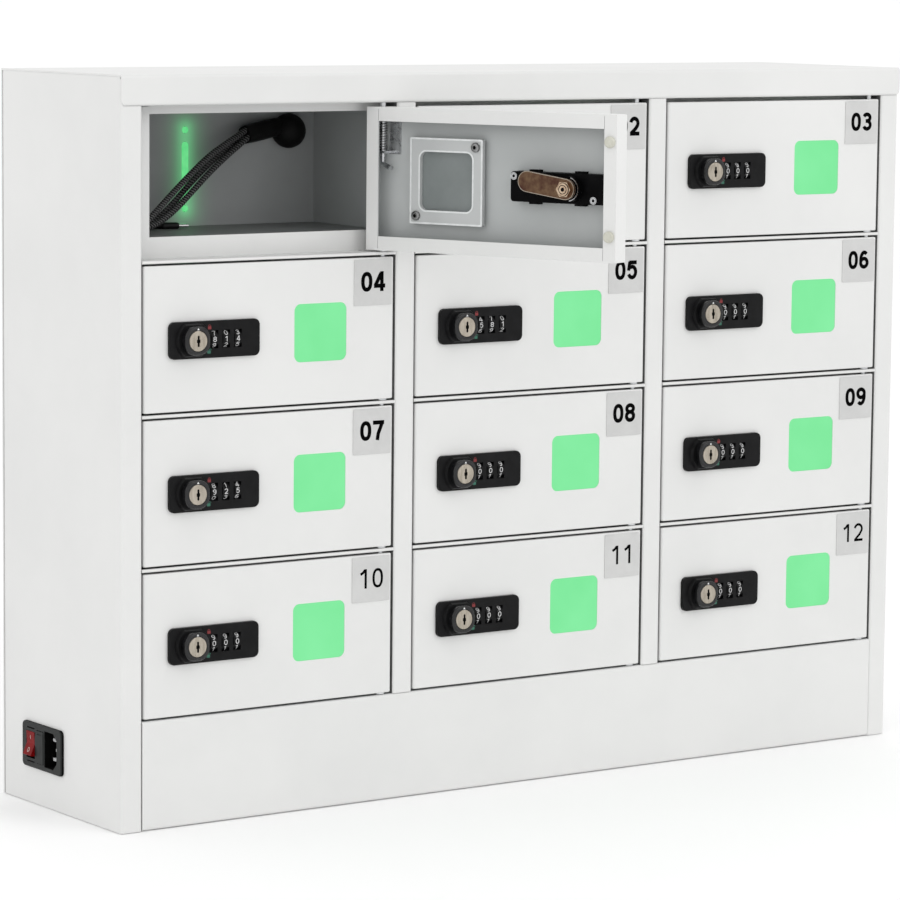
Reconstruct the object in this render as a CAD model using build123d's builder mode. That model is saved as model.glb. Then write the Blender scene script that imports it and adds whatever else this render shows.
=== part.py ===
from build123d import *
from math import sin, cos, radians, degrees, tan, pi, sqrt
import os

os.makedirs("parts", exist_ok=True)

# ---------------------------------------------------------------- dimensions
# All in millimetres. Origin: centre of the base, on the surface it stands on.
# +X right, -Y towards the doors, +Z up.
W = 650.0            # cabinet width
D = 158.0            # cabinet depth
H = 490.0            # cabinet height
T = 1.2              # sheet thickness
FY = -D / 2          # front plane of the posts
POST_SIDE = 16.0     # width of the outer posts
POST_MID = 15.5      # width of the two divider posts
OPEN_W = (W - 2 * POST_SIDE - 2 * POST_MID) / 3   # width of one column
PITCH = 99.7         # height from one shelf edge to the next
SHELF_BOTTOM = 71.0  # middle of the lowest shelf edge
CROWN_Z = 470.2      # lower edge of the crown band
STOP_Y = 16.8        # depth of the door-stop lip behind the front plane
LIP_W = 14.9         # width of the door-stop lip
FLOOR_Z = 14.8       # compartment floor above the shelf edge
LINER_Y = 104.0      # front face of the rear liner
HEM = 2.2            # thickness of the folded shelf edge

DOOR_L = 1.2         # gap on the latch side
DOOR_R = 1.7         # gap on the hinge side
DOOR_Z0 = 2.4        # door's lower edge above the middle of the shelf edge
DOOR_Z1 = 97.3       # door's upper edge
DOOR_D = 14.0        # depth of the pan
DOOR_LIP = 9.3       # return lip of the pan
PIN_E = 6.6          # hinge pin from the door's hinge edge
PIN_Y = 4.7          # hinge pin behind the front plane
PIN_R = 2.0
HOLE_R = 2.05
OPEN_ANGLE = 112.0   # how far every door opens

LOCK_X = 35.6        # knob axis from the opening's latch edge
LOCK_Z = 48.7        # knob axis above the shelf edge
CAM_TILT = 8.0       # cam's tilt when it is unlocked
DIAL_XS = (52.2, 61.1, 70.0)
DIAL_Y = 3.1
DIAL_R = 7.0
WIN_X, WIN_Z = 135.8, 49.3
WIN_W, WIN_H, WIN_R = 40.9, 38.5, 4.7
LED_X, LED_Z = 94.2, 52.9
BALL_X, BALL_Y, BALL_Z, BALL_R = 172.0, 97.0, 77.8, 11.8
CABLE_D = 4.2

XO = [-W / 2 + POST_SIDE + c * (OPEN_W + POST_MID) for c in range(3)]   # left edge of each column
SO = [SHELF_BOTTOM + (3 - r) * PITCH for r in range(4)]                  # shelf edge of each row, top row first
PIN_X = OPEN_W - DOOR_R - PIN_E


def save(part, name):
    part.label = name
    export_step(part, f"parts/{name}.step")


def box(x0, x1, y0, y1, z0, z1, mode=Mode.ADD):
    """A block given by its low and high corners, inside the open part."""
    with Locations(((x0 + x1) / 2, (y0 + y1) / 2, (z0 + z1) / 2)):
        return Box(x1 - x0, y1 - y0, z1 - z0, mode=mode)


# Each compartment has its own corner: the opening's latch edge, the front plane, the shelf edge.
def corner(col, row):
    return Location((XO[col], FY, SO[row]))


def door_place(col, row, angle):
    """Where a door drawn closed in its compartment's corner frame stands when it is open by angle."""
    pin = Location((XO[col] + PIN_X, FY + PIN_Y, SO[row]))
    return pin * Location((0, 0, 0), (0, 0, angle)) * Location((-PIN_X, -PIN_Y, 0))


# ---------------------------------------------------------------- side panels
# One bent sheet: rear flange, side, front post, return, door-stop lip.
with BuildPart() as side_left:
    with BuildSketch(Plane.XY):
        with BuildLine():
            FilletPolyline(
                (-W / 2 + 14, FY + D - 1.9),
                (-W / 2 + 0.6, FY + D - 1.9),
                (-W / 2 + 0.6, FY + 0.6),
                (XO[0] - 0.6, FY + 0.6),
                (XO[0] - 0.6, FY + STOP_Y + 0.6),
                (XO[0] + LIP_W, FY + STOP_Y + 0.6),
                radius=1.5,
            )
        trace(line_width=T)
    extrude(amount=H - 1.3)
    # the post stops under the crown's return
    box(-W / 2 + 1.9, XO[0] + LIP_W + 1, FY - 1, FY + 20, CROWN_Z - 0.1, H, mode=Mode.SUBTRACT)
    box(XO[0] - 2, XO[0] + LIP_W + 1, FY + 15.5, FY + 20, CROWN_Z - 1.3, H, mode=Mode.SUBTRACT)
    box(-W / 2 - 1, -W / 2 + 4, FY - 1, FY + 1.3, H - 2.8, H, mode=Mode.SUBTRACT)
    # cut-out for the power inlet
    with BuildSketch(Plane(origin=(-W / 2, FY + 101.3, 40.0), x_dir=(0, -1, 0), z_dir=(-1, 0, 0))):
        RectangleRounded(47.2, 27.4, 0.25)
    extrude(amount=-4, mode=Mode.SUBTRACT)
save(side_left.part, "side_left")

with BuildPart() as side_right:
    with BuildSketch(Plane.XY):
        with BuildLine():
            FilletPolyline(
                (W / 2 - 14, FY + D - 1.9),
                (W / 2 - 0.6, FY + D - 1.9),
                (W / 2 - 0.6, FY + 0.6),
                (W / 2 - POST_SIDE + 0.6, FY + 0.6),
                (W / 2 - POST_SIDE + 0.6, FY + 35.3),
                radius=1.5,
            )
        trace(line_width=T)
    extrude(amount=H - 1.3)
    box(W / 2 - POST_SIDE - 1, W / 2 - 1.9, FY - 1, FY + 20, CROWN_Z - 0.1, H, mode=Mode.SUBTRACT)
    box(W / 2 - POST_SIDE - 1, W / 2 - 1.9, FY + 16.9, FY + 40, CROWN_Z - 6.4, H, mode=Mode.SUBTRACT)
    box(W / 2 - 4, W / 2 + 1, FY - 1, FY + 1.3, H - 2.8, H, mode=Mode.SUBTRACT)
save(side_right.part, "side_right")

# ---------------------------------------------------------------- top cover
# Top plate, crown band, return over the doors, and a short down lip behind them.
CROWN_Y = FY - 1.3
with BuildPart() as top_cover:
    with BuildSketch(Plane.YZ.offset(-W / 2)):
        with BuildLine():
            FilletPolyline(
                (FY + D, H - 0.6),
                (CROWN_Y + 0.6, H - 0.6),
                (CROWN_Y + 0.6, CROWN_Z + 0.6),
                (FY + 18.7, CROWN_Z + 0.6),
                (FY + 18.7, CROWN_Z - 6.0),
                radius=1.5,
            )
        trace(line_width=T)
    extrude(amount=W)
    for sx in (-1, 1):
        box(min(sx * 322.9, sx * 326), max(sx * 322.9, sx * 326), FY - 0.05, FY + 21, CROWN_Z - 7, H - 1.25, mode=Mode.SUBTRACT)
    # rounded lower corners of the crown band
    with BuildSketch(Plane.XZ.offset(-(CROWN_Y - 1))):
        for sx in (-1, 1):
            with Locations((sx * (W / 2 - 2.0), CROWN_Z + 2.0)):
                Rectangle(4.02, 4.02)
        for sx in (-1, 1):
            with Locations((sx * (W / 2 - 4.0), CROWN_Z + 4.0)):
                Circle(4.0, mode=Mode.SUBTRACT)
    extrude(amount=-2.3, mode=Mode.SUBTRACT)
    for c in range(3):
        with Locations((XO[c] + PIN_X, FY + PIN_Y, CROWN_Z + 0.6)):
            Cylinder(HOLE_R, 3, mode=Mode.SUBTRACT)
save(top_cover.part, "top_cover")

# ---------------------------------------------------------------- back panel
# Flat sheet with two rows of vent slots, and its pan-head screws as separate solids.
BACK_Y = FY + D - 1.2
with BuildPart() as back_sheet:
    box(-W / 2, W / 2, BACK_Y, BACK_Y + 1.2, 0, H - 1.3)
    with BuildSketch(Plane.XZ.offset(-BACK_Y)):
        for z in (50.0, 438.0):
            for x in (-190.0, 190.0):
                with Locations((x, z)):
                    with GridLocations(12, 0, 12, 1):
                        SlotOverall(34, 4, rotation=90)
    extrude(amount=-3, mode=Mode.SUBTRACT)
with BuildPart() as pan_screw:
    with BuildSketch(Plane.XY):
        Circle(3.3)
    extrude(amount=1.7)
    fillet(pan_screw.faces().sort_by(Axis.Z)[-1].edges(), radius=1.1)
    with BuildSketch(Plane.XY.offset(1.7)):
        Rectangle(3.6, 0.8)
        Rectangle(0.8, 3.6)
    extrude(amount=-0.9, mode=Mode.SUBTRACT)
SCREW_SPOTS = [(x, z) for x in (-317.5, -105.0, 105.0, 317.5) for z in (12.0, 478.0)] + [(x, z) for x in (-317.5, 317.5) for z in (165.0, 320.0)]
with BuildPart() as back_panel:
    add(back_sheet.part)
    with Locations(*[Location((x, BACK_Y + 1.25, z), (-90, 0, 0)) for x, z in SCREW_SPOTS]):
        add(pan_screw.part)
save(back_panel.part, "back_panel")

# ---------------------------------------------------------------- base
# One bent sheet: skirt with its top flange, floor plate and rear flange.
with BuildPart() as base_tray:
    with BuildSketch(Plane.YZ.offset(XO[0] + 0.15)):
        with BuildLine():
            FilletPolyline(
                (FY + 18.0, SHELF_BOTTOM + 0.5),
                (FY + 0.6, SHELF_BOTTOM + 0.5),
                (FY + 0.6, 0.6),
                (FY + 155.0 - 0.6, 0.6),
                (FY + 155.0 - 0.6, 16.0),
                radius=1.5,
            )
        trace(line_width=T)
    extrude(amount=W - 2 * POST_SIDE - 0.3)
    for x0, x1 in ((-W / 2 + 1.3, XO[0] + 1), (-XO[0] - 1, W / 2 - 1.3)):
        box(x0, x1, FY + 36, FY + 154, 0, 1.2)
    # notch for the door-stop lip of the left side panel
    box(XO[0] - 1, XO[0] + 15.05, FY + 16.7, FY + 20, SHELF_BOTTOM - 2, SHELF_BOTTOM + 3, mode=Mode.SUBTRACT)
    box(XO[0] - 1, XO[0] + 1.3, FY + 15.5, FY + 20, SHELF_BOTTOM - 2, SHELF_BOTTOM + 3, mode=Mode.SUBTRACT)
    box(XO[0] - 1, XO[0] + 15.05, FY + 16.65, FY + 18.15, -1, 3, mode=Mode.SUBTRACT)
    box(XO[0] - 1, XO[0] + 1.3, FY + 15.5, FY + 18.15, -1, 3, mode=Mode.SUBTRACT)
    for c in range(3):
        with Locations((XO[c] + PIN_X, FY + PIN_Y, SHELF_BOTTOM)):
            Cylinder(HOLE_R, 5, mode=Mode.SUBTRACT)
save(base_tray.part, "base_tray")

# ---------------------------------------------------------------- shelf trays
# Folded front edge, riser behind the door, floor. The lowest row has riser and floor only.
def shelf_tray(left, lowest):
    with BuildPart() as tray:
        if not lowest:
            box(0.1, OPEN_W - 0.1, 0.15, 19.3, -HEM / 2, HEM / 2)
            lead = [e for e in tray.edges().filter_by(Axis.X) if e.center().Y < 1]
            fillet(lead, radius=1.0)
            box(0, 15.05, STOP_Y - 0.1, 20, -3, 3, mode=Mode.SUBTRACT)
            box(0, 1.3, STOP_Y - 1.3, 20, -3, 3, mode=Mode.SUBTRACT)
            box(15.05, OPEN_W - 0.1, 18.1, 19.3, -HEM / 2, FLOOR_Z)
            box(0.1, 15.05, 18.1, 19.3, HEM / 2, FLOOR_Z)
        else:
            box(0.1, OPEN_W - 0.1, 18.1, 19.3, HEM / 2 + 0.05, FLOOR_Z)
        box(0.1, OPEN_W - 0.1, 18.1, LINER_Y - 0.1, FLOOR_Z - T, FLOOR_Z)
        box(left, 0.2, 19.3, LINER_Y - 0.1, FLOOR_Z - T, FLOOR_Z)
        if not lowest:
            with Locations((PIN_X, PIN_Y, 0)):
                Cylinder(HOLE_R, 5, mode=Mode.SUBTRACT)
    return tray.part


trays = {}
for left, name in ((-POST_SIDE + T + 0.1, "outer"), (-POST_MID + 2.6, "inner")):
    for lowest in (False, True):
        trays[name, lowest] = shelf_tray(left, lowest)
with BuildPart() as shelf_trays:
    for row in range(4):
        for col in range(3):
            with Locations(corner(col, row)):
                add(trays["outer" if col == 0 else "inner", row == 3])
save(shelf_trays.part, "shelf_trays")

# ---------------------------------------------------------------- divider posts and partitions
with BuildPart() as divider_posts:
    for c in range(2):
        xl = XO[c] + OPEN_W
        with BuildSketch(Plane.XY.offset(SHELF_BOTTOM + 1.2)):
            with BuildLine():
                FilletPolyline(
                    (xl + 0.6, FY + 35.3),
                    (xl + 0.6, FY + 0.6),
                    (xl + POST_MID - 0.6, FY + 0.6),
                    (xl + POST_MID - 0.6, FY + STOP_Y + 0.6),
                    (xl + POST_MID + LIP_W, FY + STOP_Y + 0.6),
                    radius=1.5,
                )
            trace(line_width=T)
        extrude(amount=CROWN_Z - 0.1 - SHELF_BOTTOM - 1.2)
        box(xl - 1, xl + 1.25, FY + 16.9, FY + 40, CROWN_Z - 6.4, CROWN_Z + 1, mode=Mode.SUBTRACT)
        box(xl + POST_MID - 2, xl + POST_MID + LIP_W + 1, FY + 15.5, FY + 20, CROWN_Z - 1.3, CROWN_Z + 1, mode=Mode.SUBTRACT)
        # partition sheet, lapped behind the post's long wall
        box(xl + 1.25, xl + 2.45, FY + 28, FY + LINER_Y - 0.1, SHELF_BOTTOM + 1.2, CROWN_Z + 17.5)
save(divider_posts.part, "divider_posts")

# ---------------------------------------------------------------- rear liner
with BuildPart() as rear_liner:
    with BuildSketch(Plane.XY.offset(SHELF_BOTTOM + 2)):
        with BuildLine():
            FilletPolyline(
                (-323.1, FY + 122),
                (-323.1, FY + LINER_Y + 0.6),
                (323.1, FY + LINER_Y + 0.6),
                (323.1, FY + 122),
                radius=1.5,
            )
        trace(line_width=T)
    extrude(amount=H - 1.5 - SHELF_BOTTOM - 2)
    with BuildSketch(Plane.XZ.offset(-(FY + LINER_Y))):
        for row in range(4):
            for col in range(3):
                with Locations((XO[col] + LED_X, SO[row] + LED_Z)):
                    SlotOverall(37.2, 5.2, rotation=90)
                with Locations((XO[col] + LED_X, SO[row] + LED_Z + 26.4), (XO[col] + LED_X, SO[row] + LED_Z - 26.4)):
                    Circle(2.4)
                with Locations((XO[col] + BALL_X, SO[row] + BALL_Z)):
                    Circle(6.2)
    extrude(amount=-3, mode=Mode.SUBTRACT)
save(rear_liner.part, "rear_liner")

# ---------------------------------------------------------------- circuit boards
# Twelve indicator boards with their light pipes, and one charger board behind each row.
with BuildPart() as led_board:
    box(LED_X - 8, LED_X + 8, LINER_Y + 3, LINER_Y + 4.6, LED_Z - 33, LED_Z + 33)
    with BuildSketch(Plane.XZ.offset(-(LINER_Y + 3))):
        with Locations((LED_X, LED_Z)):
            SlotOverall(36.6, 4.6, rotation=90)
        with Locations((LED_X, LED_Z + 26.4), (LED_X, LED_Z - 26.4)):
            Circle(2.1)
    extrude(amount=3.4)
with BuildPart() as charger_board:
    box(-300, 300, FY + 128, FY + 129.6, 38, 92)
    for i in range(3):
        x = XO[i] + 120
        box(x - 18, x + 18, FY + 129.6, FY + 141, 45, 60)
        box(x + 30, x + 44, FY + 129.6, FY + 144.5, 64, 80)
        box(x - 40, x - 26, FY + 116, FY + 128, 62, 69)
with BuildPart() as circuit_boards:
    for row in range(4):
        for col in range(3):
            with Locations(corner(col, row)):
                add(led_board.part)
        with Locations((0, 0, SO[row])):
            add(charger_board.part)
save(circuit_boards.part, "circuit_boards")

# ---------------------------------------------------------------- power supply
with BuildPart() as power_supply:
    box(-150, 50, FY + 30, FY + 128, 3, 45)
    top_edges = power_supply.edges().filter_by(Axis.Z)
    fillet(top_edges, radius=1.5)
    box(-168, -150, FY + 40, FY + 118, 6, 24)
    with BuildSketch(Plane.XY.offset(45)):
        with Locations((-30, FY + 79)):
            with GridLocations(9, 0, 12, 1):
                SlotOverall(50, 3.5, rotation=90)
    extrude(amount=-1.5, mode=Mode.SUBTRACT)
    box(-120, -100, FY + 60, FY + 98, 1.25, 3)
    box(0, 20, FY + 60, FY + 98, 1.25, 3)
save(power_supply.part, "power_supply")

# ---------------------------------------------------------------- cable glands
# Ball-headed gland: ball, neck through the liner, lock nut behind.
with BuildPart() as gland:
    with Locations((BALL_X, BALL_Y, BALL_Z)):
        Sphere(BALL_R)
    box(BALL_X - 20, BALL_X + 20, LINER_Y - 0.05, LINER_Y + 20, BALL_Z - 20, BALL_Z + 20, mode=Mode.SUBTRACT)
    with BuildSketch(Plane.XZ.offset(-(LINER_Y - 1))):
        with Locations((BALL_X, BALL_Z)):
            Circle(6.0)
    extrude(amount=-9)
    with BuildSketch(Plane.XZ.offset(-(LINER_Y + 1.3))):
        with Locations((BALL_X, BALL_Z)):
            RegularPolygon(9.0, 6)
    extrude(amount=-4)
with BuildPart() as cable_glands:
    for row in range(4):
        for col in range(3):
            with Locations(corner(col, row)):
                add(gland.part)
save(cable_glands.part, "cable_glands")

# ---------------------------------------------------------------- power inlet on the left side
# Flange outside the side panel, body through its cut-out, socket recess, fuse slot and switch window.
PX = -W / 2
IN_Y0, IN_Y1, IN_Z0, IN_Z1 = 74.9, 127.7, 24.7, 55.3
IN_YC, IN_ZC = (IN_Y0 + IN_Y1) / 2, (IN_Z0 + IN_Z1) / 2
SW_Y, SW_Z = 116.0, 40.2      # middle of the switch
SW_W, SW_H = 10.8, 17.2
FU_Y = 103.2                  # middle of the fuse drawer
FU_W, FU_H = 8.8, 22.0
SO_Y, SO_Z = 88.9, 40.0       # middle of the socket
SO_W, SO_H = 16.4, 24.4
side_plane = Plane(origin=(PX, FY, 0), x_dir=(0, -1, 0), z_dir=(-1, 0, 0))   # local x = -Y, local y = +Z, outwards = -X
with BuildPart() as power_inlet:
    with BuildSketch(Plane(origin=(PX - 0.05, FY + IN_YC, IN_ZC), x_dir=(0, -1, 0), z_dir=(-1, 0, 0))):
        RectangleRounded(IN_Y1 - IN_Y0, IN_Z1 - IN_Z0, 3.2)
    extrude(amount=2.3)
    fillet(power_inlet.faces().sort_by(Axis.X)[0].edges(), radius=0.9)
    box(PX - 0.1, PX + 27, FY + 78.0, FY + 124.6, 26.6, 53.4)
    # socket recess with two corners cut off on the front side
    with BuildSketch(Plane(origin=(PX - 3, FY + SO_Y, SO_Z), x_dir=(0, -1, 0), z_dir=(-1, 0, 0))):
        with BuildLine():
            Polyline(
                (-SO_W / 2, -SO_H / 2), (SO_W / 2 - 4.6, -SO_H / 2), (SO_W / 2, -SO_H / 2 + 4.6),
                (SO_W / 2, SO_H / 2 - 4.6), (SO_W / 2 - 4.6, SO_H / 2), (-SO_W / 2, SO_H / 2), close=True)
        make_face()
    extrude(amount=-(17 + 3), mode=Mode.SUBTRACT)
    # fuse drawer slot
    box(PX - 4, PX + 23.2, FY + FU_Y - FU_W / 2 - 0.3, FY + FU_Y + FU_W / 2 + 0.3, SO_Z - FU_H / 2 - 0.3, SO_Z + FU_H / 2 + 0.3, mode=Mode.SUBTRACT)
    # switch window
    box(PX - 4, PX + 11.0, FY + SW_Y - SW_W / 2 - 0.3, FY + SW_Y + SW_W / 2 + 0.3, SW_Z - SW_H / 2 - 0.5, SW_Z + SW_H / 2 + 0.5, mode=Mode.SUBTRACT)
    # catch slots above and below the switch
    for z in (SW_Z - 11.4, SW_Z + 11.4):
        box(PX - 4, PX - 1.5, FY + SW_Y - 5.4, FY + SW_Y + 4.6, z - 0.45, z + 0.45, mode=Mode.SUBTRACT)
    # axle of the rocker
    with Locations(Location((PX + 2.0, FY + SW_Y, SW_Z), (90, 0, 0))):
        Cylinder(0.9, SW_W + 1.6)
with BuildPart() as inlet_group:
    add(power_inlet.part)
    for dy, dz in ((2.6, 6.6), (-1.2, 0.0), (2.6, -6.6)):
        with BuildSketch(Plane(origin=(PX + 16.95, FY + SO_Y + dy, SO_Z + dz), x_dir=(0, -1, 0), z_dir=(-1, 0, 0))):
            RectangleRounded(4.0, 2.0, 0.4)
        extrude(amount=14.6)
save(inlet_group.part, "power_inlet")

with BuildPart() as fuse_drawer:
    box(PX - 2.7, PX - 0.9, FY + FU_Y - FU_W / 2, FY + FU_Y + FU_W / 2, SO_Z - FU_H / 2, SO_Z + FU_H / 2)
    box(PX - 0.9, PX + 22.5, FY + FU_Y - 4.0, FY + FU_Y + 4.0, SO_Z - 10.6, SO_Z + 10.6)
    # trough for the two fuses
    box(PX + 1.2, PX + 21.5, FY + FU_Y - 3.0, FY + FU_Y + 5.0, SO_Z - 9.0, SO_Z - 1.0, mode=Mode.SUBTRACT)
    box(PX + 1.2, PX + 21.5, FY + FU_Y - 3.0, FY + FU_Y + 5.0, SO_Z + 1.0, SO_Z + 9.0, mode=Mode.SUBTRACT)
    # finger groove near the top edge
    box(PX - 3, PX - 2.3, FY + FU_Y - 2.8, FY + FU_Y + 2.8, SO_Z + 8.4, SO_Z + 9.2, mode=Mode.SUBTRACT)
with BuildPart() as fuse_group:
    add(fuse_drawer.part)
    with BuildSketch(Plane(origin=(PX + 1.3, FY + FU_Y + 0.2, SO_Z), x_dir=(0, 1, 0), z_dir=(1, 0, 0))):
        with Locations((0, -5.0), (0, 5.0)):
            Circle(2.5)
    extrude(amount=20.0)
save(fuse_group.part, "fuse_drawer")

# rocker: two faces meeting in a shallow V, tipped by 10 degrees with its lower end out
ROCK_TIP = 10.0
with BuildPart() as rocker_switch:
    with BuildSketch(Plane(origin=(PX + 2.0, FY + SW_Y - SW_W / 2 + 0.05, SW_Z), x_dir=Vector(-cos(radians(ROCK_TIP)), 0, sin(radians(ROCK_TIP))), z_dir=(0, 1, 0))):
        # local x points out of the panel, local y points down or up along the rocker
        with BuildLine():
            Polyline((4.3, 0), (6.1, 8.1), (-0.6, 7.7), (-5.2, 2.9), (-5.2, -2.9), (-0.6, -7.7), (6.1, -8.1), close=True)
        make_face()
    extrude(amount=SW_W - 0.1)
    long_edges = [e for e in rocker_switch.edges().filter_by(Axis.Y) if e.center().X < PX - 2.3]
    fillet(long_edges, radius=0.5)
    with Locations(Location((PX + 2.0, FY + SW_Y, SW_Z), (90, 0, 0))):
        Cylinder(0.97, SW_W + 2, mode=Mode.SUBTRACT)
save(rocker_switch.part, "rocker_switch")

# ---------------------------------------------------------------- charging cable of compartment 01
DIA = CABLE_D
c0 = corner(0, 0)


def world(p):
    return (p[0] + XO[0], p[1] + FY, p[2] + SO[0])


SPLIT_A = Vector(*world((163.0, 95.9, 81.0)))
SPLIT_B = Vector(*world((133.0, 90.4, 76.0)))
SPLIT_DIR = (SPLIT_B - SPLIT_A).normalized()
SPLIT_UP = Vector(0, 0.35, 1) - SPLIT_DIR * Vector(0, 0.35, 1).dot(SPLIT_DIR)
SPLIT_UP = SPLIT_UP.normalized()
with BuildPart() as cable_splitter:
    with BuildSketch(Plane(origin=SPLIT_A, x_dir=SPLIT_UP, z_dir=SPLIT_DIR)):
        RectangleRounded(11.4, 9.6, 4.0)
    with BuildSketch(Plane(origin=SPLIT_A + SPLIT_DIR * 14, x_dir=SPLIT_UP, z_dir=SPLIT_DIR)):
        RectangleRounded(12.6, 10.6, 3.8)
    with BuildSketch(Plane(origin=SPLIT_B, x_dir=SPLIT_UP, z_dir=SPLIT_DIR)):
        RectangleRounded(11.6, 10.2, 3.2)
    loft()
    # hollowed where it seats on the gland's ball
    with Locations(Location(world((BALL_X, BALL_Y, BALL_Z)))):
        Sphere(BALL_R + 0.02, mode=Mode.SUBTRACT)
save(cable_splitter.part, "cable_splitter")

FL = FLOOR_Z + DIA / 2 + 0.1
SPLIT_SIDE = SPLIT_UP.cross(SPLIT_DIR)      # points to the front
starts = [SPLIT_B + SPLIT_UP * u + SPLIT_SIDE * v for u, v in ((2.5, 1.7), (-2.5, 1.7), (0.0, -2.7))]


def local_start(v):
    return (v.X - XO[0], v.Y - FY, v.Z - SO[0])


ROUTES = {
    "charge_cable_a": [local_start(starts[0]), (115.0, 82.3, 71.0), (95.5, 74.8, 61.6), (76.8, 66.6, 50.0), (58.6, 58.0, 38.2), (41.0, 49.2, 27.0), (25.0, 40.5, 19.0), (12.5, 36.2, FL)],
    "charge_cable_b": [local_start(starts[1]), (115.4, 82.3, 65.8), (96.0, 75.4, 56.2), (77.8, 68.2, 44.6), (60.6, 61.0, 33.2), (43.5, 54.5, 22.9), (27.0, 50.0, FL), (11.5, 49.0, FL)],
    "charge_cable_c": [local_start(starts[2]), (115.8, 87.6, 67.6), (97.0, 82.0, 57.4), (79.2, 76.2, 45.2), (62.5, 70.6, 32.0), (46.5, 65.6, 20.9), (29.0, 62.4, FL), (7.3, 62.5, FL), (-1.3, 77.5, FL), (7.3, 92.3, FL), (25.0, 93.6, FL), (43.0, 92.0, FL), (60.0, 86.5, FL)],
}


def route_radii(pts):
    v = [Vector(*p) for p in pts]
    radii = []
    for i in range(1, len(v) - 1):
        a, b = v[i] - v[i - 1], v[i + 1] - v[i]
        turn = radians(a.get_angle(b))
        radii.append(0.45 * min(a.length, b.length) / tan(turn / 2))
    return radii


ENDS = {}
for name, pts in ROUTES.items():
    wpts = [world(p) for p in pts]
    radii = route_radii(wpts)
    v = [Vector(*p) for p in wpts]
    with BuildPart() as cable:
        with BuildLine() as route:
            FilletPolyline(*wpts, radius=radii)
        with BuildSketch(Plane(origin=v[0], z_dir=(v[1] - v[0]).normalized())):
            Circle(DIA / 2)
        sweep()
    length = sum(e.length for e in route.edges())
    print(name, "length", round(length, 1), "radii", [round(r, 1) for r in radii],
          "volume ratio", round(cable.part.volume / (length * pi * DIA ** 2 / 4), 4))
    save(cable.part, name)
    ENDS[name] = (v[-1], (v[-1] - v[-2]).normalized())

# plugs: moulded body with a metal tip, one on the end of each cable
with BuildPart() as charge_plugs:
    for name, (end, way) in ENDS.items():
        flat = Vector(way.X, way.Y, 0).normalized()
        with BuildSketch(Plane(origin=end, x_dir=Vector(-flat.Y, flat.X, 0), z_dir=flat)):
            RectangleRounded(8.6, 4.2, 1.9)
        extrude(amount=16.0)
        with BuildSketch(Plane(origin=end + flat * 15.5, x_dir=Vector(-flat.Y, flat.X, 0), z_dir=flat)):
            RectangleRounded(7.0, 2.4, 1.1)
        extrude(amount=7.0)
save(charge_plugs.part, "charge_plugs")

# ---------------------------------------------------------------- door pieces, drawn closed in the corner frame
DX0, DX1 = DOOR_L, OPEN_W - DOOR_R
with BuildPart() as pan:
    box(DX0, DX1, 0, DOOR_D, DOOR_Z0, DOOR_Z1)
    uprights = [e for e in pan.edges().filter_by(Axis.Z) if e.center().Y < 1]
    fillet(uprights, radius=2.0)
    rims = [e for e in pan.edges().filter_by(Axis.X) if e.center().Y < 1]
    fillet(rims, radius=0.9)
    box(DX0 + T, DX1 - T, T, DOOR_D - T, DOOR_Z0 + T, DOOR_Z1 - T, mode=Mode.SUBTRACT)
    box(DX0 + DOOR_LIP, DX1 - DOOR_LIP, DOOR_D - T - 1, DOOR_D + 1, DOOR_Z0 + DOOR_LIP, DOOR_Z1 - DOOR_LIP, mode=Mode.SUBTRACT)
    # joints between the return lips at the four corners
    for x in (DX0 + DOOR_LIP, DX1 - DOOR_LIP):
        for z0, z1 in ((DOOR_Z0 + T, DOOR_Z0 + DOOR_LIP + 0.1), (DOOR_Z1 - DOOR_LIP - 0.1, DOOR_Z1 - T)):
            box(x - 0.15, x + 0.15, DOOR_D - 0.35, DOOR_D + 1, z0, z1, mode=Mode.SUBTRACT)
    # window hole and lock aperture
    with BuildSketch(Plane.XZ.offset(1)):
        with Locations((WIN_X, WIN_Z)):
            RectangleRounded(WIN_W, WIN_H, WIN_R)
        with Locations((52.9, LOCK_Z)):
            RectangleRounded(62.6, 19.6, 1.5)
    extrude(amount=-4, mode=Mode.SUBTRACT)
    # hole for the upper hinge bolt
    with Locations((PIN_X, PIN_Y, DOOR_Z1)):
        Cylinder(2.3, 6, mode=Mode.SUBTRACT)

with BuildPart() as label_plate:
    with BuildSketch(Plane.XZ.offset(0.05)):
        with Locations((176.9, 80.8)):
            RectangleRounded(30.0, 30.6, 0.6)
    extrude(amount=0.4)

with BuildPart() as bumpers:
    for z in (19.1, 79.7):
        with BuildSketch(Plane.XZ.offset(-(DOOR_D + 0.03))):
            with Locations((DX0 + DOOR_LIP / 2, z)):
                Circle(3.7)
        extrude(amount=-2.3)
    fillet(bumpers.faces().filter_by(lambda f: f.center().Y > DOOR_D + 2 and abs(f.normal_at().Y) > 0.9).edges(), radius=1.0)

# fixed lower pin with its washer
with BuildPart() as low_pin:
    with Locations((PIN_X, PIN_Y, 0.2)):
        Cylinder(PIN_R, DOOR_Z0 + T + 1.6 - 0.2, align=(Align.CENTER, Align.CENTER, Align.MIN))
    with Locations((PIN_X, PIN_Y, 1.4)):
        Cylinder(3.9, DOOR_Z0 - 1.4 - 0.02, align=(Align.CENTER, Align.CENTER, Align.MIN))
    with Locations((PIN_X, PIN_Y, DOOR_Z0 + T + 0.02)):
        Cylinder(3.2, 1.4, align=(Align.CENTER, Align.CENTER, Align.MIN))
# the pan is cut for the pin with a hair of room
with BuildPart() as pan_cut:
    add(pan.part)
    with Locations((PIN_X, PIN_Y, DOOR_Z0)):
        Cylinder(PIN_R + 0.02, 6, mode=Mode.SUBTRACT)

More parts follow.
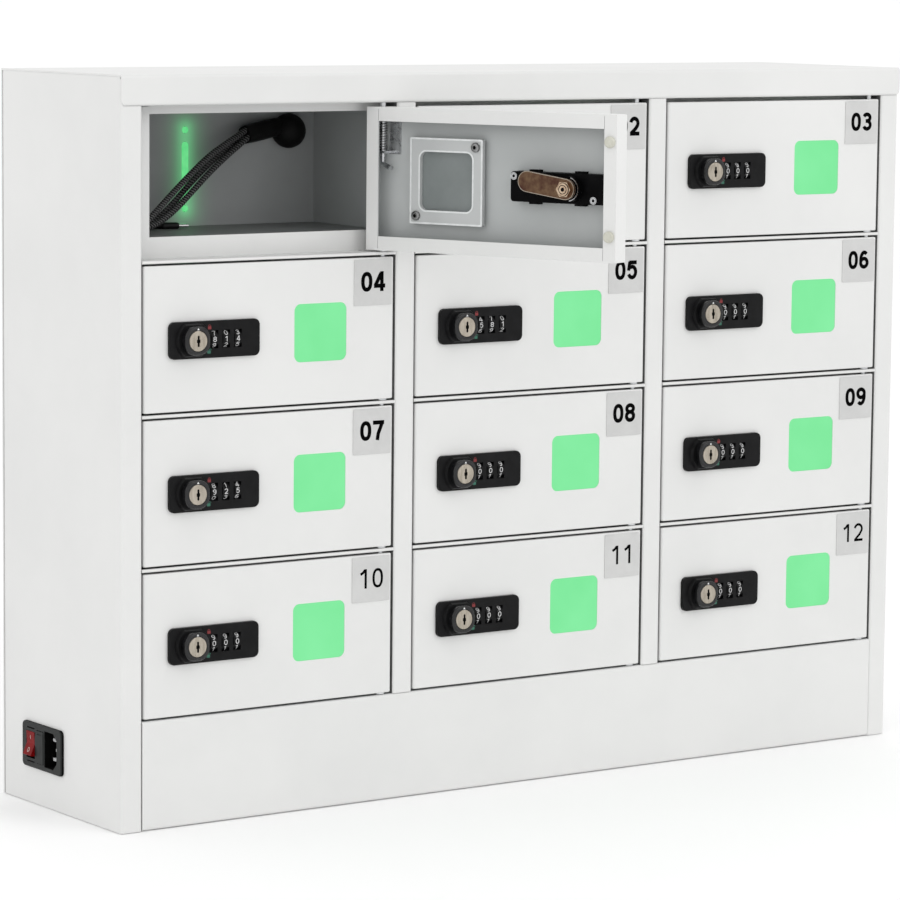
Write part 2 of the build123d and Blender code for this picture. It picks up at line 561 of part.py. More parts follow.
# the pan's front skin, and its four return flanges spot-welded behind it with a hair between them
SEAM = 2.1
with BuildPart() as pan_skin:
    add(pan_cut.part)
    box(DX0 - 1, DX1 + 1, -1, SEAM, DOOR_Z0 - 1, DOOR_Z1 + 1, mode=Mode.INTERSECT)
with BuildPart() as flange_left:
    add(pan_cut.part)
    box(DX0 - 1, DX0 + DOOR_LIP - 0.01, SEAM + 0.02, DOOR_D + 1, DOOR_Z0 - 1, DOOR_Z1 + 1, mode=Mode.INTERSECT)
with BuildPart() as flange_right:
    add(pan_cut.part)
    box(DX1 - DOOR_LIP + 0.01, DX1 + 1, SEAM + 0.02, DOOR_D + 1, DOOR_Z0 - 1, DOOR_Z1 + 1, mode=Mode.INTERSECT)
with BuildPart() as flange_top:
    add(pan_cut.part)
    box(DX0 + DOOR_LIP + 0.01, DX1 - DOOR_LIP - 0.01, SEAM + 0.02, DOOR_D + 1, DOOR_Z1 - DOOR_LIP - 1, DOOR_Z1 + 1, mode=Mode.INTERSECT)
with BuildPart() as flange_bottom:
    add(pan_cut.part)
    box(DX0 + DOOR_LIP + 0.01, DX1 - DOOR_LIP - 0.01, SEAM + 0.02, DOOR_D + 1, DOOR_Z0 - 1, DOOR_Z0 + DOOR_LIP + 1, mode=Mode.INTERSECT)
PAN = [pan_skin.part, flange_left.part, flange_right.part, flange_top.part, flange_bottom.part]

# bracket of the upper bolt: plate on the skin with a guide ledge
LEDGE_Z = 68.0
with BuildPart() as bracket:
    box(PIN_X - 12.5, PIN_X - 3.8, T + 0.03, T + 1.2, LEDGE_Z - 2, 90.0)
    box(PIN_X - 6.0, PIN_X + 4.2, T + 0.03, 9.6, LEDGE_Z - 1.5, LEDGE_Z)
    with Locations((PIN_X, PIN_Y, LEDGE_Z)):
        Cylinder(2.3, 8, mode=Mode.SUBTRACT)

# upper bolt: rod, collar, and bent handle under the ledge
COLLAR_Z = 89.0
ENGAGE = {True: CROWN_Z + 0.9 - SO[0], False: PITCH - HEM / 2 + 0.95}   # top row reaches the crown's return


def hinge_bolt(top_row):
    with BuildPart() as bolt:
        with Locations((PIN_X, PIN_Y, LEDGE_Z - 5.0)):
            Cylinder(PIN_R, ENGAGE[top_row] - LEDGE_Z + 5.0, align=(Align.CENTER, Align.CENTER, Align.MIN))
        with Locations((PIN_X, PIN_Y, COLLAR_Z)):
            Cylinder(3.1, 1.6, align=(Align.CENTER, Align.CENTER, Align.MIN))
        with BuildLine():
            FilletPolyline((PIN_X, PIN_Y, LEDGE_Z - 4.9), (PIN_X, PIN_Y, LEDGE_Z - 9.0), (PIN_X - 9.5, PIN_Y + 4.2, LEDGE_Z - 11.0), radius=3.0)
        with BuildSketch(Plane(origin=(PIN_X, PIN_Y, LEDGE_Z - 4.9), z_dir=(0, 0, -1))):
            Circle(1.7)
        sweep()
    return bolt.part


with BuildPart() as spring_sleeve:
    with BuildSketch(Plane.XY.offset(LEDGE_Z + 0.05)):
        with Locations((PIN_X, PIN_Y)):
            Circle(3.1)
            Circle(2.3, mode=Mode.SUBTRACT)
    extrude(amount=COLLAR_Z - LEDGE_Z - 0.1)

# window: pane set into the skin, frame-shaped retainer behind it, two button-head screws
with BuildPart() as pane:
    box(WIN_X - 26, WIN_X + 26, T + 0.05, T + 2.4, WIN_Z - 25, WIN_Z + 25)
    with BuildSketch(Plane.XZ.offset(-(T + 0.1))):
        with Locations((WIN_X, WIN_Z)):
            RectangleRounded(WIN_W - 0.2, WIN_H - 0.2, WIN_R - 0.1)
    extrude(amount=0.9)
with BuildPart() as retainer:
    with BuildSketch(Plane.XZ.offset(-(T + 2.45))):
        with Locations((WIN_X, WIN_Z)):
            RectangleRounded(57.0, 57.0, 1.0)
            RectangleRounded(WIN_W, WIN_H, WIN_R, mode=Mode.SUBTRACT)
    extrude(amount=-3.0)
with BuildPart() as retainer_screws:
    for x, z in ((WIN_X - 23.2, WIN_Z + 23.2), (WIN_X + 23.2, WIN_Z - 23.2)):
        with BuildSketch(Plane.XZ.offset(-(T + 5.5))):
            with Locations((x, z)):
                Circle(3.2)
        extrude(amount=-2.0)
    fillet(retainer_screws.faces().filter_by(lambda f: f.center().Y > T + 7.4 and abs(f.normal_at().Y) > 0.9).edges(), radius=1.2)
    with BuildSketch(Plane.XZ.offset(-(T + 7.5))):
        with Locations((WIN_X - 23.2, WIN_Z + 23.2), (WIN_X + 23.2, WIN_Z - 23.2)):
            RegularPolygon(1.35, 6)
    extrude(amount=1.2, mode=Mode.SUBTRACT)

# ---------------------------------------------------------------- combination lock
SHAFT_R = 6.0
# pockets of the three dials, cut through the bezel and into the case
with BuildPart() as dial_pockets:
    for x in DIAL_XS:
        with BuildSketch(Plane.YZ.offset(x - 2.85)):
            with Locations((DIAL_Y, LOCK_Z)):
                Circle(DIAL_R + 0.4)
            with BuildLine():
                Polyline((-4.2, LOCK_Z - 6.4), (1.2, LOCK_Z - 4.6), (1.2, LOCK_Z + 4.6), (-4.2, LOCK_Z + 6.4), close=True)
            make_face()
        extrude(amount=5.7)

with BuildPart() as lock_bezel:
    with BuildSketch(Plane.XZ.offset(0.05)):
        with Locations((52.9, LOCK_Z)):
            RectangleRounded(68.2, 24.2, 4.0)
    extrude(amount=2.95)
    fillet(lock_bezel.faces().sort_by(Axis.Y)[0].edges(), radius=0.7)
    # round-shouldered boss under the knob
    with BuildSketch(Plane.XZ.offset(2.9)):
        with Locations((LOCK_X, LOCK_Z)):
            Circle(12.9)
            Rectangle(30, 22.2, mode=Mode.INTERSECT)
    extrude(amount=2.5, taper=24)
    # neck through the skin
    with BuildSketch(Plane.XZ.offset(0.1)):
        with Locations((52.9, LOCK_Z)):
            RectangleRounded(62.2, 19.2, 1.3)
    extrude(amount=-1.38)
    add(dial_pockets.part, mode=Mode.SUBTRACT)
    with Locations(Location((LOCK_X, 0, LOCK_Z), (90, 0, 0))):
        Cylinder(SHAFT_R + 0.08, 60, mode=Mode.SUBTRACT)

with BuildPart() as lock_case:
    box(8.4, 82.6, T + 0.1, 11.4, LOCK_Z - 9.8, LOCK_Z + 9.8)
    fillet(lock_case.edges().filter_by(Axis.Y), radius=2.2)
    fillet(lock_case.faces().sort_by(Axis.Y)[-1].edges(), radius=0.6)
    # clip tabs above and below
    for x in (31.5, 66.0):
        box(x - 4, x + 4, 4.5, 8.5, LOCK_Z + 9.2, LOCK_Z + 11.2)
        box(x - 4, x + 4, 4.5, 8.5, LOCK_Z - 11.2, LOCK_Z - 9.2)
    # round stop boss behind the cam
    with BuildSketch(Plane.XZ.offset(-11.3)):
        with Locations((LOCK_X, LOCK_Z)):
            Circle(8.3)
    extrude(amount=-5.4)
    add(dial_pockets.part, mode=Mode.SUBTRACT)
    with Locations(Location((LOCK_X, 0, LOCK_Z), (90, 0, 0))):
        Cylinder(SHAFT_R + 0.08, 60, mode=Mode.SUBTRACT)
    # axle of the dials
    with Locations(Location((61.1, DIAL_Y, LOCK_Z), (0, 90, 0))):
        Cylinder(1.0, 26)
with BuildPart() as case_screws:
    for x, z in ((79.4, LOCK_Z + 6.8), (19.0, LOCK_Z - 7.0)):
        with BuildSketch(Plane.XZ.offset(-11.45)):
            with Locations((x, z)):
                Circle(2.4)
        extrude(amount=-1.2)

with BuildPart() as dial_wheels:
    for x in DIAL_XS:
        with BuildSketch(Plane.YZ.offset(x - 2.5)):
            with Locations((DIAL_Y, LOCK_Z)):
                RegularPolygon(DIAL_R, 10, rotation=18)
                Circle(1.05, mode=Mode.SUBTRACT)
        extrude(amount=5.0)

with BuildPart() as knob_shaft:
    # squircle grip
    with BuildSketch(Plane.XZ.offset(5.7)):
        with Locations((LOCK_X, LOCK_Z)):
            RectangleRounded(18.6, 18.6, 7.6)
    extrude(amount=4.6)
    fillet(knob_shaft.faces().sort_by(Axis.Y)[0].edges(), radius=1.3)
    with BuildSketch(Plane.XZ.offset(11)):
        with Locations((LOCK_X, LOCK_Z)):
            Circle(7.0)
    extrude(amount=-2.2, mode=Mode.SUBTRACT)
    # shaft through the lock, stepped down where it carries the cam
    with BuildSketch(Plane.XZ.offset(5.8)):
        with Locations((LOCK_X, LOCK_Z)):
            Circle(SHAFT_R)
    extrude(amount=-(5.8 + 17.6))
    with BuildSketch(Plane.XZ.offset(-17.5)):
        with Locations((LOCK_X, LOCK_Z)):
            Circle(3.95)
    extrude(amount=-3.0)
with BuildPart() as key_cylinder:
    with BuildSketch(Plane.XZ.offset(8.82)):
        with Locations((LOCK_X, LOCK_Z)):
            Circle(6.7)
    extrude(amount=1.75)
    fillet(key_cylinder.faces().sort_by(Axis.Y)[0].edges(), radius=0.5)
    with BuildSketch(Plane.XZ.offset(11)):
        with Locations((LOCK_X, LOCK_Z)):
            SlotOverall(7.4, 1.5, rotation=90)
            Rectangle(2.6, 2.2)
    extrude(amount=-1.6, mode=Mode.SUBTRACT)

CAM_Y = 18.4
CAM_LEN = 29.2
with BuildPart() as cam_flat:
    with BuildSketch(Plane.XZ.offset(-CAM_Y)):
        with Locations((LOCK_X, LOCK_Z)):
            Circle(6.8)
            with Locations((CAM_LEN / 2, 0)):
                Rectangle(CAM_LEN, 13.6)
            with Locations((CAM_LEN, 0)):
                Circle(6.8)
            Circle(4.0, mode=Mode.SUBTRACT)
    extrude(amount=-2.0)
with BuildPart() as cam_nut:
    with BuildSketch(Plane.XZ.offset(-(CAM_Y + 2.05))):
        with Locations((LOCK_X, LOCK_Z)):
            RegularPolygon(5.4, 6, major_radius=True)
            Circle(4.02, mode=Mode.SUBTRACT)
    extrude(amount=-2.4)
    with BuildSketch(Plane.XZ.offset(-(CAM_Y + 2.15))):
        with Locations((LOCK_X, LOCK_Z)):
            Circle(4.1)
    extrude(amount=-2.9)

# the cam is tipped about the knob axis to where it lies when unlocked
tip = Location((LOCK_X, 0, LOCK_Z)) * Location((0, 0, 0), (0, -CAM_TILT, 0)) * Location((-LOCK_X, 0, -LOCK_Z))
with BuildPart() as cam:
    with Locations(tip):
        add(cam_flat.part)

# ---------------------------------------------------------------- the twelve doors
def door_number(col, row):
    return row * 3 + col + 1


def placed(place, *pieces):
    """Pieces drawn in the corner frame, set where their door stands, as separate solids of one node."""
    with BuildPart() as group:
        with Locations(place):
            for piece in pieces:
                add(piece)
    return group.part


for row in range(4):
    for col in range(3):
        n = door_number(col, row)
        first = n == 1
        place = door_place(col, row, OPEN_ANGLE if first else 0.0)
        bolt = hinge_bolt(row == 0)
        if first:
            save(placed(place, *PAN, label_plate.part, bumpers.part, low_pin.part, bracket.part), "door_01")
            save(placed(place, pane.part, retainer.part, retainer_screws.part), "window_01")
            save(placed(place, lock_bezel.part, lock_case.part, case_screws.part), "lock_case_01")
            save(placed(place, bolt), "hinge_bolt_01")
            save(placed(place, spring_sleeve.part), "hinge_spring_01")
            save(placed(place, knob_shaft.part, key_cylinder.part, cam_nut.part), "knob_01")
            save(placed(place, cam.part), "cam_01")
            save(placed(place, dial_wheels.part), "dials_01")
        else:
            save(placed(place, *PAN, label_plate.part, bumpers.part, low_pin.part, bracket.part, bolt,
                        spring_sleeve.part, pane.part, retainer.part, retainer_screws.part,
                        lock_bezel.part, lock_case.part, case_screws.part), f"door_{n:02d}")
            save(placed(place, knob_shaft.part, key_cylinder.part, cam.part, cam_nut.part), f"knob_{n:02d}")
            save(placed(place, dial_wheels.part), f"dials_{n:02d}")
print("nodes", len(os.listdir("parts")))
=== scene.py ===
import bpy
import bmesh
import math
import numpy as np
from mathutils import Matrix, Vector


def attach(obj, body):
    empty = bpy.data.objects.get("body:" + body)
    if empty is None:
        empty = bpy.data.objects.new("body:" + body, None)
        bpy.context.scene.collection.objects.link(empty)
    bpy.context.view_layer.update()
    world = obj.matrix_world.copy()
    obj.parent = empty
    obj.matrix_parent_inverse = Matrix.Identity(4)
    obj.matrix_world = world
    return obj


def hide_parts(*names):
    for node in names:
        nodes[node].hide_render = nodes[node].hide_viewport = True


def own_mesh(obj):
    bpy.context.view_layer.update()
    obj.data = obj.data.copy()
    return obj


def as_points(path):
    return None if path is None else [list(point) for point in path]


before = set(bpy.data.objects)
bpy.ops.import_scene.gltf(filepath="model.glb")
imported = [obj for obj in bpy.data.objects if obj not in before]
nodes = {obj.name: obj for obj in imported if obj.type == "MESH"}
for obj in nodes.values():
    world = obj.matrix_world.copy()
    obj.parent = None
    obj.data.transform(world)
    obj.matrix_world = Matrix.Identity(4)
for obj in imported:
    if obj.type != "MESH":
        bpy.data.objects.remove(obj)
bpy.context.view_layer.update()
MM = 0.001
scene = bpy.context.scene

# ------------------------------------------------------------------ dimensions shared with the solids
W, D, H, T = 650.0, 158.0, 490.0, 1.2
FY = -D / 2
OPEN_W = (W - 2 * 16.0 - 2 * 15.5) / 3
COL_PITCH = OPEN_W + 15.5
PITCH = 99.7
XO = [-W / 2 + 16.0 + c * COL_PITCH for c in range(3)]
SO = [71.0 + (3 - r) * PITCH for r in range(4)]
PIN_X, PIN_Y = OPEN_W - 1.7 - 6.6, 4.7
OPEN_ANGLE = 112.0
LOCK_X, LOCK_Z = 35.6, 48.7
DIAL_XS = (52.2, 61.1, 70.0)
DIAL_Y, DIAL_R = 3.1, 7.0
LINER_Y = 104.0
LED_X, LED_Z = 94.2, 52.9
DOOR_L, DOOR_R, DOOR_Z0, DOOR_Z1 = 1.2, 1.7, 2.4, 97.3
CABLE_D = 4.2
PX = -W / 2


def corner(col, row):
    return Matrix.Translation(Vector((XO[col], FY, SO[row])) * MM) @ Matrix.Scale(MM, 4)


def door_matrix(n):
    """From a door's own drawing, in millimetres, to where the door stands, in metres."""
    row, col = divmod(n - 1, 3)
    m = Matrix.Translation(Vector((PIN_X, PIN_Y, 0)))
    if n == 1:
        m = m @ Matrix.Rotation(math.radians(OPEN_ANGLE), 4, "Z")
    m = m @ Matrix.Translation(Vector((-PIN_X, -PIN_Y, 0)))
    return corner(col, row) @ m


# ------------------------------------------------------------------ camera
cam_data = bpy.data.cameras.new("camera")
cam_data.lens = 160.93
cam_data.sensor_width = 36.0
cam_data.clip_end = 1000.0
cam = bpy.data.objects.new("camera", cam_data)
scene.collection.objects.link(cam)
yaw, pitch, roll = math.radians(34.879), math.radians(6.913), math.radians(0.550)
look = Vector((math.sin(yaw) * math.cos(pitch), math.cos(yaw) * math.cos(pitch), -math.sin(pitch)))
right = Vector((math.cos(yaw), -math.sin(yaw), 0))
up = right.cross(look)
right2 = math.cos(roll) * right + math.sin(roll) * up
up2 = -math.sin(roll) * right + math.cos(roll) * up
cam.matrix_world = Matrix((
    (right2.x, up2.x, -look.x, -1.61403),
    (right2.y, up2.y, -look.y, -2.29662),
    (right2.z, up2.z, -look.z, 0.56274),
    (0, 0, 0, 1),
))
scene.camera = cam

# ------------------------------------------------------------------ charging leads: routes first, as in the solids
SPLIT_A = Vector((163.0, 95.9, 81.0))
SPLIT_B = Vector((133.0, 90.4, 76.0))
SPLIT_DIR = (SPLIT_B - SPLIT_A).normalized()
SPLIT_UP = Vector((0, 0.35, 1)) - SPLIT_DIR * Vector((0, 0.35, 1)).dot(SPLIT_DIR)
SPLIT_UP.normalize()
FL = 14.8 + CABLE_D / 2 + 0.1
SPLIT_SIDE = SPLIT_UP.cross(SPLIT_DIR)
STARTS = [SPLIT_B + SPLIT_UP * u + SPLIT_SIDE * v for u, v in ((2.5, 1.7), (-2.5, 1.7), (0.0, -2.7))]
ROUTES = {
    "lead_a": [tuple(STARTS[0]), (115.0, 82.3, 71.8), (95.5, 74.8, 63.4), (76.8, 66.6, 52.6), (58.6, 58.0, 41.6), (41.0, 49.2, 30.6), (25.0, 40.5, 21.2), (12.5, 36.2, FL)],
    "lead_b": [tuple(STARTS[1]), (115.4, 82.3, 63.9), (96.0, 75.4, 52.3), (77.8, 68.2, 39.8), (60.6, 61.0, 28.6), (43.5, 54.5, 20.4), (27.0, 50.0, FL), (11.5, 49.0, FL)],
    "lead_c": [tuple(STARTS[2]), (115.8, 87.6, 66.6), (97.0, 82.0, 55.6), (79.2, 76.2, 43.0), (62.5, 70.6, 30.2), (46.5, 65.6, 20.2), (29.0, 62.4, FL), (7.3, 62.5, FL), (-1.3, 77.5, FL), (7.3, 92.3, FL), (25.0, 93.6, FL), (43.0, 92.0, FL), (60.0, 86.5, FL)],
}
CAD_LEAD = {"lead_a": "charge_cable_a", "lead_b": "charge_cable_b", "lead_c": "charge_cable_c"}
C01 = corner(0, 0)


def spline_points(name, pts):
    """Points of the route's own smooth line, in metres."""
    cu = bpy.data.curves.new(name + "_line", "CURVE")
    cu.dimensions = "3D"
    cu.resolution_u = 64
    sp = cu.splines.new("NURBS")
    sp.points.add(len(pts) - 1)
    for i, p in enumerate(pts):
        q = C01 @ Vector(p)
        sp.points[i].co = (q.x, q.y, q.z, 1.0)
    sp.order_u = 3
    sp.use_endpoint_u = True
    ob = bpy.data.objects.new(name + "_line", cu)
    scene.collection.objects.link(ob)
    bpy.context.view_layer.update()
    me = bpy.data.meshes.new_from_object(ob.evaluated_get(bpy.context.evaluated_depsgraph_get()))
    out = [v.co.copy() for v in me.vertices]
    bpy.data.meshes.remove(me)
    bpy.data.objects.remove(ob)
    return out


def resample(points, step):
    p = np.array([tuple(v) for v in points])
    seg = np.linalg.norm(np.diff(p, axis=0), axis=1)
    s = np.concatenate([[0], np.cumsum(seg)])
    n = max(2, int(round(s[-1] / step)))
    t = np.linspace(0, s[-1], n + 1)
    return np.stack([np.interp(t, s, p[:, k]) for k in range(3)], axis=1), t


def frames_along(p):
    """A tangent and a steady side vector at each point of a line."""
    tan = np.gradient(p, axis=0)
    tan /= np.linalg.norm(tan, axis=1)[:, None]
    side = np.zeros_like(p)
    v = np.cross(tan[0], (0, 0, 1.0))
    if np.linalg.norm(v) < 1e-6:
        v = np.cross(tan[0], (0, 1.0, 0))
    v /= np.linalg.norm(v)
    for i in range(len(p)):
        v = v - tan[i] * np.dot(v, tan[i])
        v /= np.linalg.norm(v)
        side[i] = v
    return tan, side


def new_object(name, verts, faces, mats=(), smooth=True):
    me = bpy.data.meshes.new(name)
    me.from_pydata([tuple(v) for v in verts], [], faces)
    me.update()
    for m in mats:
        me.materials.append(m)
    if smooth:
        me.polygons.foreach_set("use_smooth", [True] * len(me.polygons))
    ob = bpy.data.objects.new(name, me)
    scene.collection.objects.link(ob)
    return ob


# ------------------------------------------------------------------ materials
def base_mat(name):
    m = bpy.data.materials.new(name)
    m.use_nodes = True
    return m, m.node_tree, m.node_tree.nodes["Principled BSDF"]


def nd(nt, kind, **values):
    n = nt.nodes.new(kind)
    for k, v in values.items():
        if k in n.inputs:
            n.inputs[k].default_value = v
        else:
            setattr(n, k, v)
    return n


def finish_mat(name, c1, c2, rough=(0.4, 0.5), metal=0.0, scale=40.0, bump=0.05, bump_scale=600.0, bump_dist=0.0002, detail=4.0, spec=0.5, coat=0.0, stretch=None, speck=None):
    """Two colours mixed by noise, roughness that varies, and a fine bump, all in the object's own space."""
    m, nt, b = base_mat(name)
    co = nd(nt, "ShaderNodeTexCoord")
    src = co.outputs["Object"]
    if stretch:
        mp = nd(nt, "ShaderNodeMapping")
        mp.inputs["Scale"].default_value = stretch
        nt.links.new(src, mp.inputs["Vector"])
        src = mp.outputs["Vector"]
    n1 = nd(nt, "ShaderNodeTexNoise")
    n1.inputs["Scale"].default_value = scale
    n1.inputs["Detail"].default_value = detail
    n1.inputs["Roughness"].default_value = 0.6
    nt.links.new(src, n1.inputs["Vector"])
    ramp = nd(nt, "ShaderNodeValToRGB")
    ramp.color_ramp.elements[0].position = 0.35
    ramp.color_ramp.elements[1].position = 0.65
    ramp.color_ramp.elements[0].color = (*c1, 1)
    ramp.color_ramp.elements[1].color = (*c2, 1)
    nt.links.new(n1.outputs["Fac"], ramp.inputs["Fac"])
    colour = ramp.outputs["Color"]
    n2 = nd(nt, "ShaderNodeTexNoise")
    n2.inputs["Scale"].default_value = bump_scale
    n2.inputs["Detail"].default_value = 3.0
    nt.links.new(src, n2.inputs["Vector"])
    if speck:
        vr = nd(nt, "ShaderNodeValToRGB")
        vr.color_ramp.elements[0].position = 0.60
        vr.color_ramp.elements[1].position = 0.72
        vr.color_ramp.elements[0].color = (0, 0, 0, 1)
        vr.color_ramp.elements[1].color = (1, 1, 1, 1)
        nt.links.new(n2.outputs["Fac"], vr.inputs["Fac"])
        mx = nd(nt, "ShaderNodeMix", data_type="RGBA")
        nt.links.new(vr.outputs["Color"], mx.inputs[0])
        nt.links.new(colour, mx.inputs[6])
        mx.inputs[7].default_value = (*speck, 1)
        colour = mx.outputs[2]
    nt.links.new(colour, b.inputs["Base Color"])
    mr = nd(nt, "ShaderNodeMapRange")
    mr.inputs["To Min"].default_value = rough[0]
    mr.inputs["To Max"].default_value = rough[1]
    nt.links.new(n1.outputs["Fac"], mr.inputs["Value"])
    nt.links.new(mr.outputs["Result"], b.inputs["Roughness"])
    bp = nd(nt, "ShaderNodeBump")
    bp.inputs["Strength"].default_value = bump
    bp.inputs["Distance"].default_value = bump_dist
    nt.links.new(n2.outputs["Fac"], bp.inputs["Height"])
    nt.links.new(bp.outputs["Normal"], b.inputs["Normal"])
    b.inputs["Metallic"].default_value = metal
    b.inputs["Specular IOR Level"].default_value = spec
    b.inputs["Coat Weight"].default_value = coat
    return m


PAINT = finish_mat("white_powder_coat", (0.690, 0.692, 0.684), (0.722, 0.723, 0.714), rough=(0.36, 0.46), scale=9.0, bump=0.22, bump_scale=850.0, bump_dist=0.00012, spec=0.4)
# darker grey for the faces inside the compartments: painted shade
INNER_SHADE = finish_mat("inner_coat_painted_shade", (0.325, 0.335, 0.336), (0.375, 0.388, 0.390), rough=(0.42, 0.54), scale=9.0, bump=0.22, bump_scale=850.0, bump_dist=0.00012, spec=0.25)
# darker grey for the compartment floors: painted shade
FLOOR_IN = finish_mat("tray_floor_painted_shade", (0.165, 0.170, 0.170), (0.200, 0.206, 0.205), rough=(0.42, 0.54), scale=12.0, bump=0.22, bump_scale=850.0, bump_dist=0.00012, spec=0.3)
# darker grey for the faces inside the door pans: painted shade
DOOR_IN = finish_mat("door_inner_painted_shade", (0.425, 0.442, 0.440), (0.480, 0.497, 0.494), rough=(0.40, 0.50), scale=9.0, bump=0.22, bump_scale=850.0, bump_dist=0.00012, spec=0.35)
# near-black for the returns, hems and risers in the gaps round the doors: painted shade
GAP = finish_mat("gap_painted_shade", (0.120, 0.122, 0.120), (0.160, 0.162, 0.160), rough=(0.55, 0.7), scale=30.0, bump=0.2, bump_scale=850.0, bump_dist=0.0001, spec=0.1)
LABEL = finish_mat("label_film", (0.530, 0.530, 0.525), (0.570, 0.570, 0.564), rough=(0.45, 0.55), scale=60.0, bump=0.08, bump_scale=1500.0)
INK = finish_mat("black_ink", (0.0005, 0.0005, 0.0006), (0.0012, 0.0012, 0.0014), rough=(0.55, 0.7), scale=300.0, bump=0.05, bump_scale=3000.0, spec=0.02)
LOCK_BLACK = finish_mat("lock_black", (0.0025, 0.0025, 0.0028), (0.0055, 0.0055, 0.006), rough=(0.30, 0.42), scale=120.0, bump=0.06, bump_scale=2600.0, bump_dist=0.00005, spec=0.14)
KNOB_BLACK = finish_mat("knob_black", (0.004, 0.004, 0.0045), (0.009, 0.009, 0.010), rough=(0.20, 0.30), scale=150.0, bump=0.05, bump_scale=2200.0, bump_dist=0.00005, spec=0.42)
CASE_BLACK = finish_mat("lock_case_black", (0.002, 0.002, 0.0022), (0.004, 0.004, 0.0043), rough=(0.34, 0.48), scale=90.0, bump=0.08, bump_scale=1800.0, bump_dist=0.00008, spec=0.03)
INLET_BLACK = finish_mat("inlet_black", (0.012, 0.0135, 0.0135), (0.018, 0.020, 0.0195), rough=(0.42, 0.58), scale=120.0, bump=0.12, bump_scale=1800.0, bump_dist=0.0001, spec=0.22)
# near-black for keyholes, screw sockets, the inlet's cavity and dark rings round screws and the nut: painted shade
DARK = finish_mat("painted_shade_dark", (0.0015, 0.0015, 0.0015), (0.003, 0.003, 0.003), rough=(0.7, 0.85), scale=120.0, bump=0.1, bump_scale=900.0, spec=0.08)
NICKEL = finish_mat("nickel", (0.33, 0.295, 0.245), (0.46, 0.415, 0.35), rough=(0.22, 0.34), metal=1.0, scale=500.0, bump=0.10, bump_scale=2500.0, bump_dist=0.00008, stretch=(1, 1, 0.2))
STEEL = finish_mat("zinc_plated", (0.50, 0.51, 0.52), (0.64, 0.65, 0.66), rough=(0.22, 0.34), metal=1.0, scale=260.0, bump=0.05, bump_scale=900.0, bump_dist=0.00006)
SCREW = finish_mat("screw_dark", (0.20, 0.20, 0.20), (0.30, 0.30, 0.30), rough=(0.22, 0.34), metal=1.0, scale=260.0, bump=0.06, bump_scale=1600.0, bump_dist=0.00006)
BRONZE = finish_mat("cam_chromate", (0.062, 0.024, 0.017), (0.150, 0.092, 0.052), rough=(0.30, 0.46), metal=0.80, scale=150.0, bump=0.30, bump_scale=900.0, bump_dist=0.0001, detail=8.0, spec=0.4)
BRASS = finish_mat("nut_brass", (0.40, 0.28, 0.19), (0.66, 0.52, 0.38), rough=(0.16, 0.28), metal=1.0, scale=300.0, bump=0.08, bump_scale=1500.0)
RED = finish_mat("rocker_red", (0.150, 0.0018, 0.0026), (0.200, 0.003, 0.004), rough=(0.24, 0.34), scale=90.0, bump=0.04, bump_scale=1500.0, bump_dist=0.00005, spec=0.08)
CREAM = finish_mat("bumper_silicone", (0.50, 0.495, 0.42), (0.60, 0.595, 0.52), rough=(0.3, 0.42), scale=200.0, bump=0.06, bump_scale=1200.0)
RUBBER = finish_mat("black_rubber", (0.002, 0.002, 0.002), (0.005, 0.005, 0.005), rough=(0.55, 0.72), scale=90.0, bump=0.16, bump_scale=1100.0, bump_dist=0.00015, spec=0.16)
MARK_WHITE = finish_mat("mark_white", (0.70, 0.70, 0.70), (0.80, 0.80, 0.80), rough=(0.4, 0.5), scale=300.0, bump=0.03)
MARK_GREY = finish_mat("dial_figure_paint", (0.46, 0.46, 0.46), (0.64, 0.64, 0.64), rough=(0.4, 0.5), scale=900.0, bump=0.03)
MARK_RED = finish_mat("mark_red", (0.15, 0.006, 0.008), (0.22, 0.009, 0.011), rough=(0.4, 0.5), scale=300.0, bump=0.03)
MARK_GREEN = finish_mat("mark_green", (0.012, 0.095, 0.06), (0.02, 0.14, 0.09), rough=(0.4, 0.5), scale=300.0, bump=0.03)
PCB = finish_mat("board_green", (0.01, 0.10, 0.035), (0.016, 0.14, 0.05), rough=(0.3, 0.42), scale=200.0, bump=0.3, bump_scale=500.0, speck=(0.4, 0.36, 0.2))
PIN_PLATE = finish_mat("inlet_pin_plate", (0.64, 0.65, 0.66), (0.78, 0.79, 0.80), rough=(0.2, 0.3), metal=0.3, scale=300.0, bump=0.04)
ROCKER_MARK = finish_mat("rocker_mark", (0.44, 0.36, 0.33), (0.56, 0.47, 0.43), rough=(0.4, 0.5), scale=300.0, bump=0.03)
# bright bands on the retainer's edges: painted highlight
EDGE_HIGHLIGHT = finish_mat("painted_edge_highlight", (0.66, 0.68, 0.68), (0.76, 0.775, 0.775), rough=(0.10, 0.18), scale=200.0, bump=0.02, spec=0.6)
UNLIT = finish_mat("unlit_pane", (0.185, 0.205, 0.203), (0.205, 0.226, 0.224), rough=(0.12, 0.2), scale=40.0, bump=0.02, bump_scale=500.0, spec=0.35)
PLUG_TIP = finish_mat("plug_tip", (0.62, 0.62, 0.62), (0.78, 0.78, 0.78), rough=(0.2, 0.3), metal=1.0, scale=300.0, bump=0.05)
PLUG_BODY = finish_mat("plug_body", (0.004, 0.004, 0.0045), (0.009, 0.009, 0.0095), rough=(0.38, 0.52), scale=150.0, bump=0.12, bump_scale=1500.0, bump_dist=0.0001, spec=0.25)



